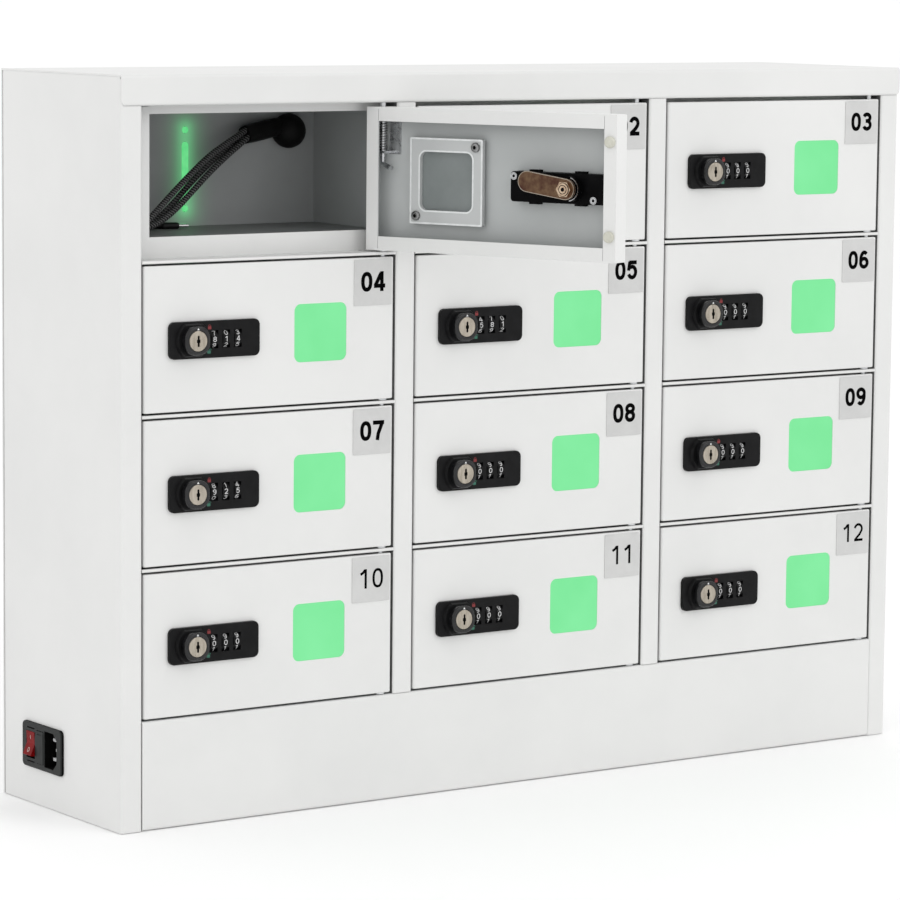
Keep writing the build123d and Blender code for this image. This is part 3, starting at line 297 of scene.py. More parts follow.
def acrylic():
    m, nt, b = base_mat("clear_acrylic")
    co = nd(nt, "ShaderNodeTexCoord")
    n1 = nd(nt, "ShaderNodeTexNoise")
    n1.inputs["Scale"].default_value = 35.0
    nt.links.new(co.outputs["Object"], n1.inputs["Vector"])
    ramp = nd(nt, "ShaderNodeValToRGB")
    ramp.color_ramp.elements[0].color = (0.60, 0.615, 0.615, 1)
    ramp.color_ramp.elements[1].color = (0.66, 0.675, 0.675, 1)
    nt.links.new(n1.outputs["Fac"], ramp.inputs["Fac"])
    nt.links.new(ramp.outputs["Color"], b.inputs["Base Color"])
    b.inputs["Roughness"].default_value = 0.08
    b.inputs["IOR"].default_value = 1.49
    b.inputs["Transmission Weight"].default_value = 0.25
    n2 = nd(nt, "ShaderNodeTexNoise")
    n2.inputs["Scale"].default_value = 500.0
    nt.links.new(co.outputs["Object"], n2.inputs["Vector"])
    bp = nd(nt, "ShaderNodeBump")
    bp.inputs["Strength"].default_value = 0.04
    bp.inputs["Distance"].default_value = 0.0001
    nt.links.new(n2.outputs["Fac"], bp.inputs["Height"])
    nt.links.new(bp.outputs["Normal"], b.inputs["Normal"])
    return m


ACRYLIC = acrylic()


def lit_mat(name, c1, c2, strength, scale=25.0):
    """A lit, diffusing pane: its glow varies a little over the surface."""
    m, nt, b = base_mat(name)
    co = nd(nt, "ShaderNodeTexCoord")
    n1 = nd(nt, "ShaderNodeTexNoise")
    n1.inputs["Scale"].default_value = scale
    n1.inputs["Detail"].default_value = 2.0
    nt.links.new(co.outputs["Object"], n1.inputs["Vector"])
    ramp = nd(nt, "ShaderNodeValToRGB")
    ramp.color_ramp.elements[0].position = 0.3
    ramp.color_ramp.elements[1].position = 0.7
    ramp.color_ramp.elements[0].color = (*c1, 1)
    ramp.color_ramp.elements[1].color = (*c2, 1)
    nt.links.new(n1.outputs["Fac"], ramp.inputs["Fac"])
    nt.links.new(ramp.outputs["Color"], b.inputs["Emission Color"])
    b.inputs["Emission Strength"].default_value = strength
    b.inputs["Base Color"].default_value = (0.03, 0.12, 0.05, 1)
    b.inputs["Roughness"].default_value = 0.3
    b.inputs["Specular IOR Level"].default_value = 0.15
    n2 = nd(nt, "ShaderNodeTexNoise")
    n2.inputs["Scale"].default_value = 900.0
    nt.links.new(co.outputs["Object"], n2.inputs["Vector"])
    bp = nd(nt, "ShaderNodeBump")
    bp.inputs["Strength"].default_value = 0.05
    bp.inputs["Distance"].default_value = 0.0001
    nt.links.new(n2.outputs["Fac"], bp.inputs["Height"])
    nt.links.new(bp.outputs["Normal"], b.inputs["Normal"])
    return m


GREEN_PANE = lit_mat("lit_pane", (0.185, 0.725, 0.295), (0.220, 0.775, 0.340), 0.93)
GREEN_LED = lit_mat("lit_led", (0.10, 0.62, 0.20), (0.16, 0.70, 0.26), 1.0, scale=200.0)


def liner_mat():
    """Inner paint, a darker grey as painted shade, with a painted glow: the soft green spill of the indicator lights
    round their slots, as emission.
    """
    m = INNER_SHADE.copy()
    m.name = "liner_painted_shade_and_glow"
    nt = m.node_tree
    b = nt.nodes["Principled BSDF"]
    co = nd(nt, "ShaderNodeTexCoord")
    sep = nd(nt, "ShaderNodeSeparateXYZ")
    nt.links.new(co.outputs["Object"], sep.inputs["Vector"])

    def math_node(op, a, bb=None, clamp=False):
        n = nd(nt, "ShaderNodeMath", operation=op, use_clamp=clamp)
        for i, v in enumerate((a, bb)):
            if v is None:
                continue
            if isinstance(v, (int, float)):
                n.inputs[i].default_value = v
            else:
                nt.links.new(v, n.inputs[i])
        return n.outputs[0]

    def folded(axis, centre, period):
        shifted = math_node("ADD", sep.outputs[axis], -(centre - period / 2) * MM + 10 * period * MM)
        wrapped = math_node("MODULO", shifted, period * MM)
        return math_node("SUBTRACT", wrapped, period / 2 * MM)

    # painted glow: green emission painted on the liner round each indicator slot
    dx = folded("X", XO[0] + LED_X, COL_PITCH)
    dz = math_node("MAXIMUM", math_node("SUBTRACT", math_node("ABSOLUTE", folded("Z", SO[3] + LED_Z, PITCH)), 27.0 * MM), 0.0)
    d2 = math_node("ADD", math_node("MULTIPLY", dx, dx), math_node("MULTIPLY", dz, dz))
    near = math_node("POWER", 2.718, math_node("MULTIPLY", d2, -1.0 / (6.0 * MM) ** 2))
    far = math_node("POWER", 2.718, math_node("MULTIPLY", d2, -1.0 / (12.0 * MM) ** 2))
    total = math_node("ADD", math_node("MULTIPLY", near, 0.24), math_node("MULTIPLY", far, 0.17))
    b.inputs["Emission Color"].default_value = (0.10, 0.85, 0.26, 1)
    nt.links.new(total, b.inputs["Emission Strength"])
    return m


LINER = liner_mat()


def ribbed(name, src, axis_scale):
    """A plated part with turns of wire round it."""
    m = src.copy()
    m.name = name
    nt = m.node_tree
    b = nt.nodes["Principled BSDF"]
    co = nd(nt, "ShaderNodeTexCoord")
    wv = nd(nt, "ShaderNodeTexWave", wave_type="BANDS", bands_direction="Z")
    wv.inputs["Scale"].default_value = axis_scale
    nt.links.new(co.outputs["Object"], wv.inputs["Vector"])
    bp = nd(nt, "ShaderNodeBump")
    bp.inputs["Strength"].default_value = 0.9
    bp.inputs["Distance"].default_value = 0.0005
    nt.links.new(wv.outputs["Fac"], bp.inputs["Height"])
    nt.links.new(bp.outputs["Normal"], b.inputs["Normal"])
    return m


SPRING = ribbed("spring_wire", STEEL, 170.0)


def braid_mat():
    """Braided sleeve: herringbone of dark yarn with lighter flecks, from the tube's own length and girth."""
    m, nt, b = base_mat("braided_sleeve")
    uv = nd(nt, "ShaderNodeUVMap", uv_map="UVMap")
    sep = nd(nt, "ShaderNodeSeparateXYZ")
    nt.links.new(uv.outputs["UV"], sep.inputs["Vector"])

    def math_node(op, a, bb=None):
        n = nd(nt, "ShaderNodeMath", operation=op)
        for i, v in enumerate((a, bb)):
            if v is None:
                continue
            if isinstance(v, (int, float)):
                n.inputs[i].default_value = v
            else:
                nt.links.new(v, n.inputs[i])
        return n.outputs[0]

    zig = nd(nt, "ShaderNodeMath", operation="PINGPONG")
    nt.links.new(math_node("MULTIPLY", sep.outputs["X"], 3.0), zig.inputs[0])
    zig.inputs[1].default_value = 0.5
    run = math_node("ADD", sep.outputs["Y"], zig.outputs[0])
    prod = math_node("SINE", math_node("MULTIPLY", run, 2 * math.pi))
    ramp = nd(nt, "ShaderNodeValToRGB")
    ramp.color_ramp.elements[0].position = 0.60
    ramp.color_ramp.elements[0].color = (0.0022, 0.0022, 0.0022, 1)
    ramp.color_ramp.elements[1].position = 0.94
    ramp.color_ramp.elements[1].color = (0.155, 0.155, 0.157, 1)
    half = math_node("ADD", math_node("MULTIPLY", prod, 0.5), 0.5)
    nt.links.new(half, ramp.inputs["Fac"])
    nt.links.new(ramp.outputs["Color"], b.inputs["Base Color"])
    b.inputs["Roughness"].default_value = 0.55
    b.inputs["Specular IOR Level"].default_value = 0.2
    co = nd(nt, "ShaderNodeTexCoord")
    n2 = nd(nt, "ShaderNodeTexNoise")
    n2.inputs["Scale"].default_value = 4000.0
    nt.links.new(co.outputs["Object"], n2.inputs["Vector"])
    bp = nd(nt, "ShaderNodeBump")
    bp.inputs["Strength"].default_value = 0.3
    bp.inputs["Distance"].default_value = 0.0001
    nt.links.new(n2.outputs["Fac"], bp.inputs["Height"])
    nt.links.new(bp.outputs["Normal"], b.inputs["Normal"])
    return m


BRAID = braid_mat()

# ------------------------------------------------------------------ leads and their plugs
def basis(origin, x, z):
    """Matrix with its columns x, z cross x, z, at origin; in the compartment's millimetres."""
    z = Vector(z).normalized()
    x = (Vector(x) - z * Vector(x).dot(z)).normalized()
    y = z.cross(x)
    return Matrix(((x.x, y.x, z.x, origin[0]), (x.y, y.y, z.y, origin[1]), (x.z, y.z, z.z, origin[2]), (0, 0, 0, 1)))


def rounded_ring(w, h, r, z, n=6):
    pts = []
    r = min(r, w / 2 - 1e-4, h / 2 - 1e-4)
    for cx, cy, a0 in ((w / 2 - r, h / 2 - r, 0), (-w / 2 + r, h / 2 - r, 90), (-w / 2 + r, -h / 2 + r, 180), (w / 2 - r, -h / 2 + r, 270)):
        for i in range(n + 1):
            a = math.radians(a0 + 90 * i / n)
            pts.append((cx + r * math.cos(a), cy + r * math.sin(a), z))
    return pts


def lofted(rings, closed_ends=True):
    verts, faces = [], []
    n = len(rings[0])
    for r in rings:
        verts += r
    for k in range(len(rings) - 1):
        for i in range(n):
            j = (i + 1) % n
            faces.append((k * n + i, k * n + j, (k + 1) * n + j, (k + 1) * n + i))
    if closed_ends:
        faces.append(tuple(range(n))[::-1])
        faces.append(tuple(range((len(rings) - 1) * n, len(rings) * n)))
    return verts, faces


def plug_piece(name, end, way):
    flat = Vector((way[0], way[1], 0)).normalized()
    m = C01 @ basis(end, Vector((-flat.y, flat.x, 0)), flat)
    verts, faces, idx = [], [], []

    def take(rings, mat_index):
        v, f = lofted(rings)
        base = len(verts)
        verts.extend(m @ Vector(p) for p in v)
        faces.extend(tuple(base + i for i in q) for q in f)
        idx.extend([mat_index] * len(f))

    # strain relief in steps, then the moulded body with rounded shoulders, then the metal shell
    rings = []
    for i in range(4):
        z = i * 1.1
        rings.append(rounded_ring(4.8 + 0.35 * i, 4.1, 2.0, z))
        rings.append(rounded_ring(4.8 + 0.35 * i, 4.1, 2.0, z + 0.7))
        rings.append(rounded_ring(4.2 + 0.35 * i, 3.6, 1.8, z + 0.75))
        rings.append(rounded_ring(4.2 + 0.35 * i, 3.6, 1.8, z + 1.05))
    take(rings, 0)
    take([rounded_ring(7.2, 3.2, 1.5, 4.3), rounded_ring(8.2, 3.9, 1.8, 4.7), rounded_ring(8.6, 4.2, 1.95, 5.6), rounded_ring(8.6, 4.2, 1.95, 14.6), rounded_ring(8.3, 4.0, 1.8, 15.5), rounded_ring(7.6, 3.4, 1.5, 16.0)], 0)
    shell = [rounded_ring(7.0, 2.4, 1.15, 15.9), rounded_ring(7.0, 2.4, 1.15, 22.2), rounded_ring(6.8, 2.2, 1.05, 22.5), rounded_ring(6.2, 1.6, 0.75, 22.5), rounded_ring(6.2, 1.6, 0.75, 17.5)]
    take(shell, 1)
    take([rounded_ring(4.4, 0.6, 0.25, 17.4), rounded_ring(4.4, 0.6, 0.25, 21.9)], 0)
    ob = new_object(name, verts, faces, (PLUG_BODY, PLUG_TIP), smooth=False)
    ob.data.polygons.foreach_set("material_index", idx)
    return ob


for name, pts in ROUTES.items():
    line = spline_points(name, pts)
    p, t = resample(line, 0.00032)
    tan, side = frames_along(p)
    n_around = 42
    v = []
    uvs = []
    R = CABLE_D / 2 * MM
    PITCH_LEN = 0.0023
    for i in range(len(p)):
        s2 = np.cross(tan[i], side[i])
        for k in range(n_around):
            a = 2 * math.pi * k / n_around
            turn = 3.0 * k / n_around % 1.0
            r = R - 0.00013 + 0.00013 * math.sin(2 * math.pi * (t[i] / PITCH_LEN + min(turn, 1.0 - turn)))
            v.append(p[i] + (side[i] * math.cos(a) + s2 * math.sin(a)) * r)
    faces = []
    for i in range(len(p) - 1):
        for k in range(n_around):
            j = (k + 1) % n_around
            faces.append((i * n_around + k, i * n_around + j, (i + 1) * n_around + j, (i + 1) * n_around + k))
            uvs += [(k / n_around, t[i] / PITCH_LEN), ((k + 1) / n_around, t[i] / PITCH_LEN), ((k + 1) / n_around, t[i + 1] / PITCH_LEN), (k / n_around, t[i + 1] / PITCH_LEN)]
    faces.append(tuple(range(n_around))[::-1])
    uvs += [(0, 0)] * n_around
    faces.append(tuple(range((len(p) - 1) * n_around, len(p) * n_around)))
    uvs += [(0, 0)] * n_around
    lead = new_object(name, v, faces, (BRAID,))
    layer = lead.data.uv_layers.new(name="UVMap")
    layer.data.foreach_set("uv", np.array(uvs, dtype=np.float32).ravel())
    end = Vector(pts[-1])
    way = (end - Vector(pts[-2])).normalized()
    plug = plug_piece("plug_" + name[-1], end, way)
    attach(lead, "cabinet")
    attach(plug, "cabinet")
    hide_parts(CAD_LEAD[name])
    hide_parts("charge_plugs")
    tuple(C01 @ Vector(pts[0]))
    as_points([tuple(q) for q in p[::10]] + [tuple(p[-1])])

# ------------------------------------------------------------------ which solid of a node each face belongs to
def islands(me):
    """Arrays over the mesh's faces: island number, and each island's corners, with coincident points joined."""
    nv = len(me.vertices)
    co = np.empty(nv * 3)
    me.vertices.foreach_get("co", co)
    co = co.reshape(-1, 3)
    key = np.round(co * 1e6).astype(np.int64)
    _, inv = np.unique(key, axis=0, return_inverse=True)
    inv = inv.ravel()
    loops = np.empty(len(me.loops), dtype=np.int64)
    me.loops.foreach_get("vertex_index", loops)
    starts = np.empty(len(me.polygons), dtype=np.int64)
    totals = np.empty(len(me.polygons), dtype=np.int64)
    me.polygons.foreach_get("loop_start", starts)
    me.polygons.foreach_get("loop_total", totals)
    face_of_loop = np.repeat(np.arange(len(starts)), totals)
    w = inv[loops]
    first = w[starts][face_of_loop]
    labels = np.arange(inv.max() + 1)
    while True:
        m = np.minimum(labels[first], labels[w])
        new = labels.copy()
        np.minimum.at(new, first, m)
        np.minimum.at(new, w, m)
        new = new[new]
        if (new == labels).all():
            break
        labels = new
    face_label = labels[w[starts]]
    uniq, face_island = np.unique(face_label, return_inverse=True)
    point_island = labels[inv]
    boxes = []
    for u in uniq:
        boxes.append(co[point_island == u])
    centres = np.zeros((len(starts), 3))
    np.add.at(centres, face_of_loop, co[loops])
    centres /= totals[:, None]
    return face_island.ravel(), boxes, centres


def local(points, matrix):
    inv = np.array(matrix.inverted())
    return points @ inv[:3, :3].T + inv[:3, 3]


def paint_node(name, mats, pick):
    """Gives a solid's faces their materials. pick(island's points, face centres) gives a slot or an array of them."""
    ob = nodes[name]
    me = ob.data
    me.materials.clear()
    for m in mats:
        me.materials.append(m)
    fi, boxes, centres = islands(me)
    out = np.zeros(len(fi), dtype=np.int32)
    for k, pts in enumerate(boxes):
        sel = fi == k
        out[sel] = pick(pts, centres[sel])
    me.polygons.foreach_set("material_index", out)
    me.update()


def door_pick(n, lit):
    m = door_matrix(n)
    pane_slot = 2 if lit else 3

    def pick(pts, c):
        q = local(pts, m)
        lo, hi = q.min(0), q.max(0)
        size = hi - lo
        if size[0] > 150 or size[2] > 90:       # skin and flanges of the pan
            lc = local(c, m)
            # faces inside the pan, within its flanges, get the darker door inner coat: painted shade
            inside = (lc[:, 0] > DOOR_L + 1.1) & (lc[:, 0] < OPEN_W - DOOR_R - 1.1) & (lc[:, 2] > DOOR_Z0 + 1.1) & (lc[:, 2] < DOOR_Z1 - 1.1) & (lc[:, 1] > 1.15) & (lc[:, 1] < 13.9)
            return np.where(inside, 11, 0)
        if abs(size[0] - 30) < 1 and size[1] < 1:     # label
            return 1
        if abs(size[0] - 52) < 1:                # pane
            return pane_slot
        if abs(size[0] - 57) < 1:                # retainer
            return 4
        if abs(size[0] - 68.2) < 1:              # bezel
            return 5
        if abs(size[0] - 74.2) < 1:              # case
            return 6
        if lo[1] > 14 and abs(size[0] - 7.4) < 0.5:
            return 7                             # bumpers
        if abs(size[0] - 6.2) < 0.3 and size[2] > 15:
            return 9                             # spring
        if size[0] < 5.2 and lo[1] > 11 and hi[0] < 85:
            return 8                             # case screws
        if abs(size[0] - 6.4) < 0.1 and size[1] < 2.5:
            lc = local(c, m)                     # retainer screws, with a dark socket
            ctr = (lo + hi) / 2
            # the screw's socket gets the near-black coat: painted shade
            socket = (np.hypot(lc[:, 0] - ctr[0], lc[:, 2] - ctr[2]) < 1.36) & (lc[:, 1] < hi[1] - 0.15)
            return np.where(socket, 13, 12)
        return 8
    return pick


DOOR_MATS = (PAINT, LABEL, GREEN_PANE, UNLIT, ACRYLIC, LOCK_BLACK, CASE_BLACK, CREAM, STEEL, SPRING, BRASS, DOOR_IN, SCREW, DARK)


def knob_pick(n):
    m = door_matrix(n)

    def pick(pts, c):
        q = local(pts, m)
        lo, hi = q.min(0), q.max(0)
        lc = local(c, m)
        if hi[1] < -8:                           # key cylinder, its keyhole dark
            # faces inside the keyhole get the near-black coat: painted shade
            inside = (np.abs(lc[:, 0] - LOCK_X) < 1.36) & (np.abs(lc[:, 2] - LOCK_Z) < 3.72) & (lc[:, 1] > -10.56) & (lc[:, 1] < -8.9)
            return np.where(inside, 2, 1)
        if hi[0] - lo[0] > 25:                   # cam
            return 3
        if lo[1] > 20 or (lo[1] > 17.5 and hi[0] - lo[0] < 12):
            return 4                             # nut
        return 0
    return pick


KNOB_MATS = (KNOB_BLACK, NICKEL, DARK, BRONZE, BRASS)

for n in range(1, 13):
    k = f"{n:02d}"
    paint_node(f"door_{k}", DOOR_MATS, door_pick(n, n != 1))
    paint_node(f"knob_{k}", KNOB_MATS, knob_pick(n))
    paint_node(f"dials_{k}", (LOCK_BLACK,), lambda p, c: 0)
paint_node("window_01", DOOR_MATS, door_pick(1, False))
paint_node("lock_case_01", DOOR_MATS, door_pick(1, False))
paint_node("cam_01", (BRONZE,), lambda p, c: 0)
paint_node("hinge_bolt_01", (STEEL,), lambda p, c: 0)


def paint_sheet(name, mats, rule):
    """A sheet node's faces by place, in millimetres behind the front plane for y, and by the way they face."""
    ob = nodes[name]
    me = ob.data
    me.materials.clear()
    for m in mats:
        me.materials.append(m)
    fi, boxes, centres = islands(me)
    nrm = np.empty(len(me.polygons) * 3)
    me.polygons.foreach_get("normal", nrm)
    nrm = nrm.reshape(-1, 3)
    out = np.zeros(len(fi), dtype=np.int32)
    for k, pts in enumerate(boxes):
        sel = fi == k
        p = pts / MM
        c = centres[sel] / MM
        out[sel] = rule(p, c[:, 0], c[:, 1] - FY, c[:, 2], nrm[sel])
    me.polygons.foreach_set("material_index", out)
    me.update()


# sheets: faces inside the compartments get the inner coat, and faces in the gap zone behind the fronts (y 1.3 to 19.35)
# get the gap coat, both painted shade; front faces and lips stay white
def side_rule(p, x, y, z, n):
    white = (np.abs(x) > W / 2 - 1.0) | (y < 1.3) | (y > D - 1.5) | ((n[:, 1] < -0.5) & (y < 20))
    return np.where(white, 0, np.where(y < 19.35, 3, 1))


def post_rule(p, x, y, z, n):
    return np.where((y < 1.3) | ((n[:, 1] < -0.5) & (y < 20)), 0, np.where(y < 19.35, 3, 1))


def top_rule(p, x, y, z, n):
    white = (z > H - 0.9) | (np.abs(x) > W / 2 - 1.0) | (y < 1.3) | (y > D - 1.5) | ((n[:, 1] < -0.5) & (y > 17.5) & (y < 20))
    return np.where(white, 0, 1)


def base_rule(p, x, y, z, n):
    return np.where((y > 1.3) & (z > 5), 1, 0)


# painted shade: tray floors get the floor coat and faces behind the door fronts the gap coat, except that compartment
# 01's open sill keeps only its undersides in gap coat
def tray_rule(p, x, y, z, n):
    first = p[:, 0].max() < XO[0] + OPEN_W + 1 and p[:, 2].max() > SO[0]
    floor_face = (y > 19.35) & (n[:, 2] > 0.5)
    slot = (y > 1.2) & (y <= 19.35) & (((not first) & (n[:, 1] > -0.5)) | (n[:, 2] < -0.5))
    return np.where(floor_face, 2, np.where(slot, 3, np.where(y > 19.35, 1, 0)))


# material slots: 0 white paint; 1 inner coat, 2 floor coat and 3 gap coat, each painted shade
for name, rule in (("side_left", side_rule), ("side_right", side_rule), ("top_cover", top_rule), ("base_tray", base_rule), ("shelf_trays", tray_rule), ("divider_posts", post_rule)):
    paint_sheet(name, (PAINT, INNER_SHADE, FLOOR_IN, GAP), rule)
paint_node("back_panel", (PAINT, STEEL), lambda p, c: 0 if np.ptp(p[:, 0]) > 0.1 else 1)
paint_node("rear_liner", (LINER,), lambda p, c: 0)


def board_pick(pts, c):
    return np.where(c[:, 1] < (FY + LINER_Y + 2.9) * MM, 1, np.where(c[:, 1] > (FY + 129.7) * MM, 2, 0))


paint_node("circuit_boards", (PCB, GREEN_LED, CASE_BLACK), board_pick)
paint_node("cable_glands", (RUBBER,), lambda p, c: 0)
paint_node("cable_splitter", (RUBBER,), lambda p, c: 0)
paint_node("power_supply", (STEEL,), lambda p, c: 0)
# the inlet's faces at x beyond PX - 1.6 mm, inside its socket cavity, get the near-black coat: painted shade
paint_node("power_inlet", (INLET_BLACK, PIN_PLATE, DARK), lambda p, c: 1 if np.ptp(p[:, 1]) < 0.006 else np.where(c[:, 0] > (PX - 1.6) * MM, 2, 0))
paint_node("fuse_drawer", (INLET_BLACK, STEEL), lambda p, c: 1 if np.ptp(p[:, 2]) < 0.006 else 0)
paint_node("rocker_switch", (RED,), lambda p, c: 0)

# ------------------------------------------------------------------ printed figures
def ell(cx, cy, rx, ry, a0, a1, n=18, p=1.0):
    """Points on an ellipse from angle a0 to a1, in degrees; p below 1 squares it a little."""
    out = []
    for i in range(n + 1):
        a = math.radians(a0 + (a1 - a0) * i / n)
        c, s_ = math.cos(a), math.sin(a)
        out.append((cx + rx * math.copysign(abs(c) ** p, c), cy + ry * math.copysign(abs(s_) ** p, s_)))
    return out


def figure_strokes(d, w, h, s):
    """Centre lines of one figure in a box w by h, for a pen s wide: (points, closed)."""
    a = s / 2
    x1, cx, waist = w - a, w / 2, 0.535 * h
    if d == "0":
        return [(ell(cx, h / 2, cx - a, h / 2 - a, 0, 360, 40, 0.86)[:-1], True)]
    if d == "1":
        return [([(0.62 * w, 0), (0.62 * w, h - 0.02 * s)], False), ([(0.13 * w, 0.735 * h), (0.36 * w, 0.81 * h), (0.56 * w, h - 0.35 * s)], False)]
    if d == "2":
        r = cx - a
        top = ell(cx, h - a - 0.25 * h, r, 0.25 * h, 168, -32, 20)
        return [(top + [(0.62 * w, 0.36 * h), (0.34 * w, 0.20 * h), (a * 1.1, a)], False), ([(a * 0.55, a), (w, a)], False)]
    if d == "3":
        up = ell(cx * 0.97, (h - a + waist) / 2, 0.44 * w - a * 0.7, (h - a - waist) / 2, 158, -84, 16)
        low = ell(cx, (waist + a) / 2, cx - a, (waist - a) / 2, 84, -160, 20)
        return [(up, False), (low, False), ([(0.36 * w, waist), (0.56 * w, waist)], False)]
    if d == "4":
        return [([(0.70 * w, 0), (0.70 * w, h)], False), ([(0, 0.275 * h), (w, 0.275 * h)], False), ([(0.62 * w, h - a * 0.9), (a * 0.75, 0.275 * h)], False)]
    if d == "5":
        low = ell(cx * 0.98, a + 0.285 * h, cx - a, 0.285 * h, 128, -158, 24)
        return [([(0.20 * w, h - a), (0.93 * w, h - a)], False), ([(0.26 * w, h - a * 0.6), (0.15 * w, 0.47 * h)], False), (low, False)]
    if d in "69":
        ring = ell(cx, a + 0.225 * h, cx - a, 0.225 * h, 0, 360, 32)[:-1]
        stem = ell(cx * 1.04, 0.48 * h, 0.52 * w - a, 0.52 * h - a, 190, 50, 22)
        parts = [(ring, True), (stem, False)]
        if d == "9":
            parts = [([(w - x, h - y) for x, y in pts], c) for pts, c in parts]
        return parts
    if d == "7":
        return [([(0, h - a), (w, h - a)], False), ([(x1 - 0.02 * w, h - a), (0.66 * w, 0.62 * h), (0.48 * w, 0.34 * h), (0.40 * w, 0)], False)]
    return [(ell(cx, (h - a + waist) / 2, 0.46 * w - a * 0.9, (h - a - waist) / 2, 0, 360, 28)[:-1], True), (ell(cx, (waist + a) / 2, cx - a, (waist - a) / 2, 0, 360, 30)[:-1], True)]


def add_ribbon(store, pts, closed, width, depth, place):
    """A flat bar along a line, width across and depth thick."""
    n = len(pts)
    left, right = [], []
    for i, (x, y) in enumerate(pts):
        px, py = pts[(i - 1) % n] if (closed or i) else pts[i]
        qx, qy = pts[(i + 1) % n] if (closed or i < n - 1) else pts[i]
        tx, ty = qx - px, qy - py
        ln = math.hypot(tx, ty)
        nx, ny = -ty / ln, tx / ln
        k = 1.0
        if closed or 0 < i < n - 1:
            ax, ay = x - px, y - py
            la = math.hypot(ax, ay)
            cosine = abs(nx * -ay / la + ny * ax / la)
            k = min(1.0 / max(cosine, 0.4), 1.6)
        left.append((x + nx * width / 2 * k, y + ny * width / 2 * k))
        right.append((x - nx * width / 2 * k, y - ny * width / 2 * k))
    base = len(store[0])
    for z in (0.0, depth):
        for q in left:
            store[0].append(place @ Vector((q[0], q[1], z)))
        for q in right:
            store[0].append(place @ Vector((q[0], q[1], z)))
    L0, R0, L1, R1 = base, base + n, base + 2 * n, base + 3 * n
    for i in range(n if closed else n - 1):
        j = (i + 1) % n
        store[1].extend([(L1 + i, R1 + i, R1 + j, L1 + j), (L0 + i, L0 + j, R0 + j, R0 + i), (L0 + i, L1 + i, L1 + j, L0 + j), (R0 + i, R0 + j, R1 + j, R1 + i)])
    if not closed:
        e = n - 1
        store[1].extend([(L0, R0, R1, L1), (L0 + e, L1 + e, R1 + e, R0 + e)])


def add_figures(store, text, pen, box, depth, place, spacing=0.0):
    """Figures side by side in box (x0, x1, y0, y1)."""
    n = len(text)
    w = (box[1] - box[0] - spacing * (n - 1)) / n
    h = box[3] - box[2]
    for i, d in enumerate(text):
        shift = Matrix.Translation((box[0] + i * (w + spacing), box[2], 0.0))
        for k, (pts, closed) in enumerate(figure_strokes(d, w, h, pen)):
            add_ribbon(store, pts, closed, pen, depth + 0.004 * k, place @ shift)


FACE = Matrix(((1, 0, 0, 0), (0, 0, -1, 0), (0, 1, 0, 0), (0, 0, 0, 1)))   # drawing x, y, z to x, z, -y

for n in range(1, 13):
    k = f"{n:02d}"
    leaf = f"door_{k}_leaf"
    m = door_matrix(n)
    # number on the label
    store = ([], [])
    heavy = n < 10
    add_figures(store, k, 2.75 if heavy else 1.8, (167.4, 186.6, 74.7, 87.9), 0.08, m @ Matrix.Translation((0, -0.43, 0)) @ FACE, spacing=1.3 if heavy else 2.2)
    num = new_object(f"number_{k}", store[0], store[1], (INK,), smooth=False)
    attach(num, leaf)
    # figures on the three dials
    store = ([], [])
    for w, x in enumerate(DIAL_XS):
        shown = (n * 7 + w * 3) % 10 if n in (4, 5, 7) else 0
        for d in range(10):
            a = math.radians(36.0 * (d - shown))
            turn = Matrix.Translation((0, DIAL_Y, LOCK_Z)) @ Matrix.Rotation(a, 4, "X") @ Matrix.Translation((0, -DIAL_Y, -LOCK_Z))
            place = m @ turn @ Matrix.Translation((0, DIAL_Y - DIAL_R * math.cos(math.radians(18)) + 0.02, 0)) @ FACE
            add_figures(store, str(d), 0.5, (x - 1.3, x + 1.3, LOCK_Z - 1.75, LOCK_Z + 1.75), 0.05, place)
    figs = new_object(f"dial_figures_{k}", store[0], store[1], (MARK_GREY,), smooth=False)
    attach(figs, f"code_dials_{k}")
    # marks printed on the bezel: closed and open padlock; and the pointer on the knob
    verts, faces, idx = [], [], []

    def flat_shape(outline, y, mat_index, thick=0.06):
        base = len(verts)
        c = len(outline)
        for x, z in outline:
            verts.append(m @ Vector((x, y, z)))
        for x, z in outline:
            verts.append(m @ Vector((x, y - thick, z)))
        faces.append(tuple(range(base, base + c)))
        faces.append(tuple(range(base + c, base + 2 * c))[::-1])
        idx.extend([mat_index] * 2)
        for i in range(c):
            j = (i + 1) % c
            faces.append((base + i, base + c + i, base + c + j, base + j))
            idx.append(mat_index)

    def padlock(cx, cz, opened, mat_index):
        body = [(cx + px - 0, cz + pz) for px, pz, _ in rounded_ring(2.6, 2.0, 0.35, 0, 3)]
        flat_shape(body, -2.99, mat_index)
        shift = 0.9 if opened else 0.0
        outer = [(cx + shift + 1.0 * math.cos(math.radians(a)), cz + 1.1 + 1.0 * math.sin(math.radians(a))) for a in range(0, 181, 20)]
        inner = [(cx + shift + 0.62 * math.cos(math.radians(a)), cz + 1.1 + 0.62 * math.sin(math.radians(a))) for a in range(180, -1, -20)]
        flat_shape(outer + inner, -2.99, mat_index)

    padlock(48.4, 56.3, False, 0)
    padlock(48.0, 40.6, True, 1)
    marks = new_object(f"lock_marks_{k}", verts, faces, (MARK_RED, MARK_GREEN), smooth=False)
    marks.data.polygons.foreach_set("material_index", idx)
    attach(marks, leaf)
    verts, faces, idx = [], [], []
    flat_shape([(LOCK_X - 0.85, LOCK_Z + 7.15), (LOCK_X + 0.85, LOCK_Z + 7.15), (LOCK_X, LOCK_Z + 8.5)], -10.28, 0)
    point = new_object(f"knob_pointer_{k}", verts, faces, (MARK_WHITE,), smooth=False)
    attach(point, f"lock_knob_{k}")

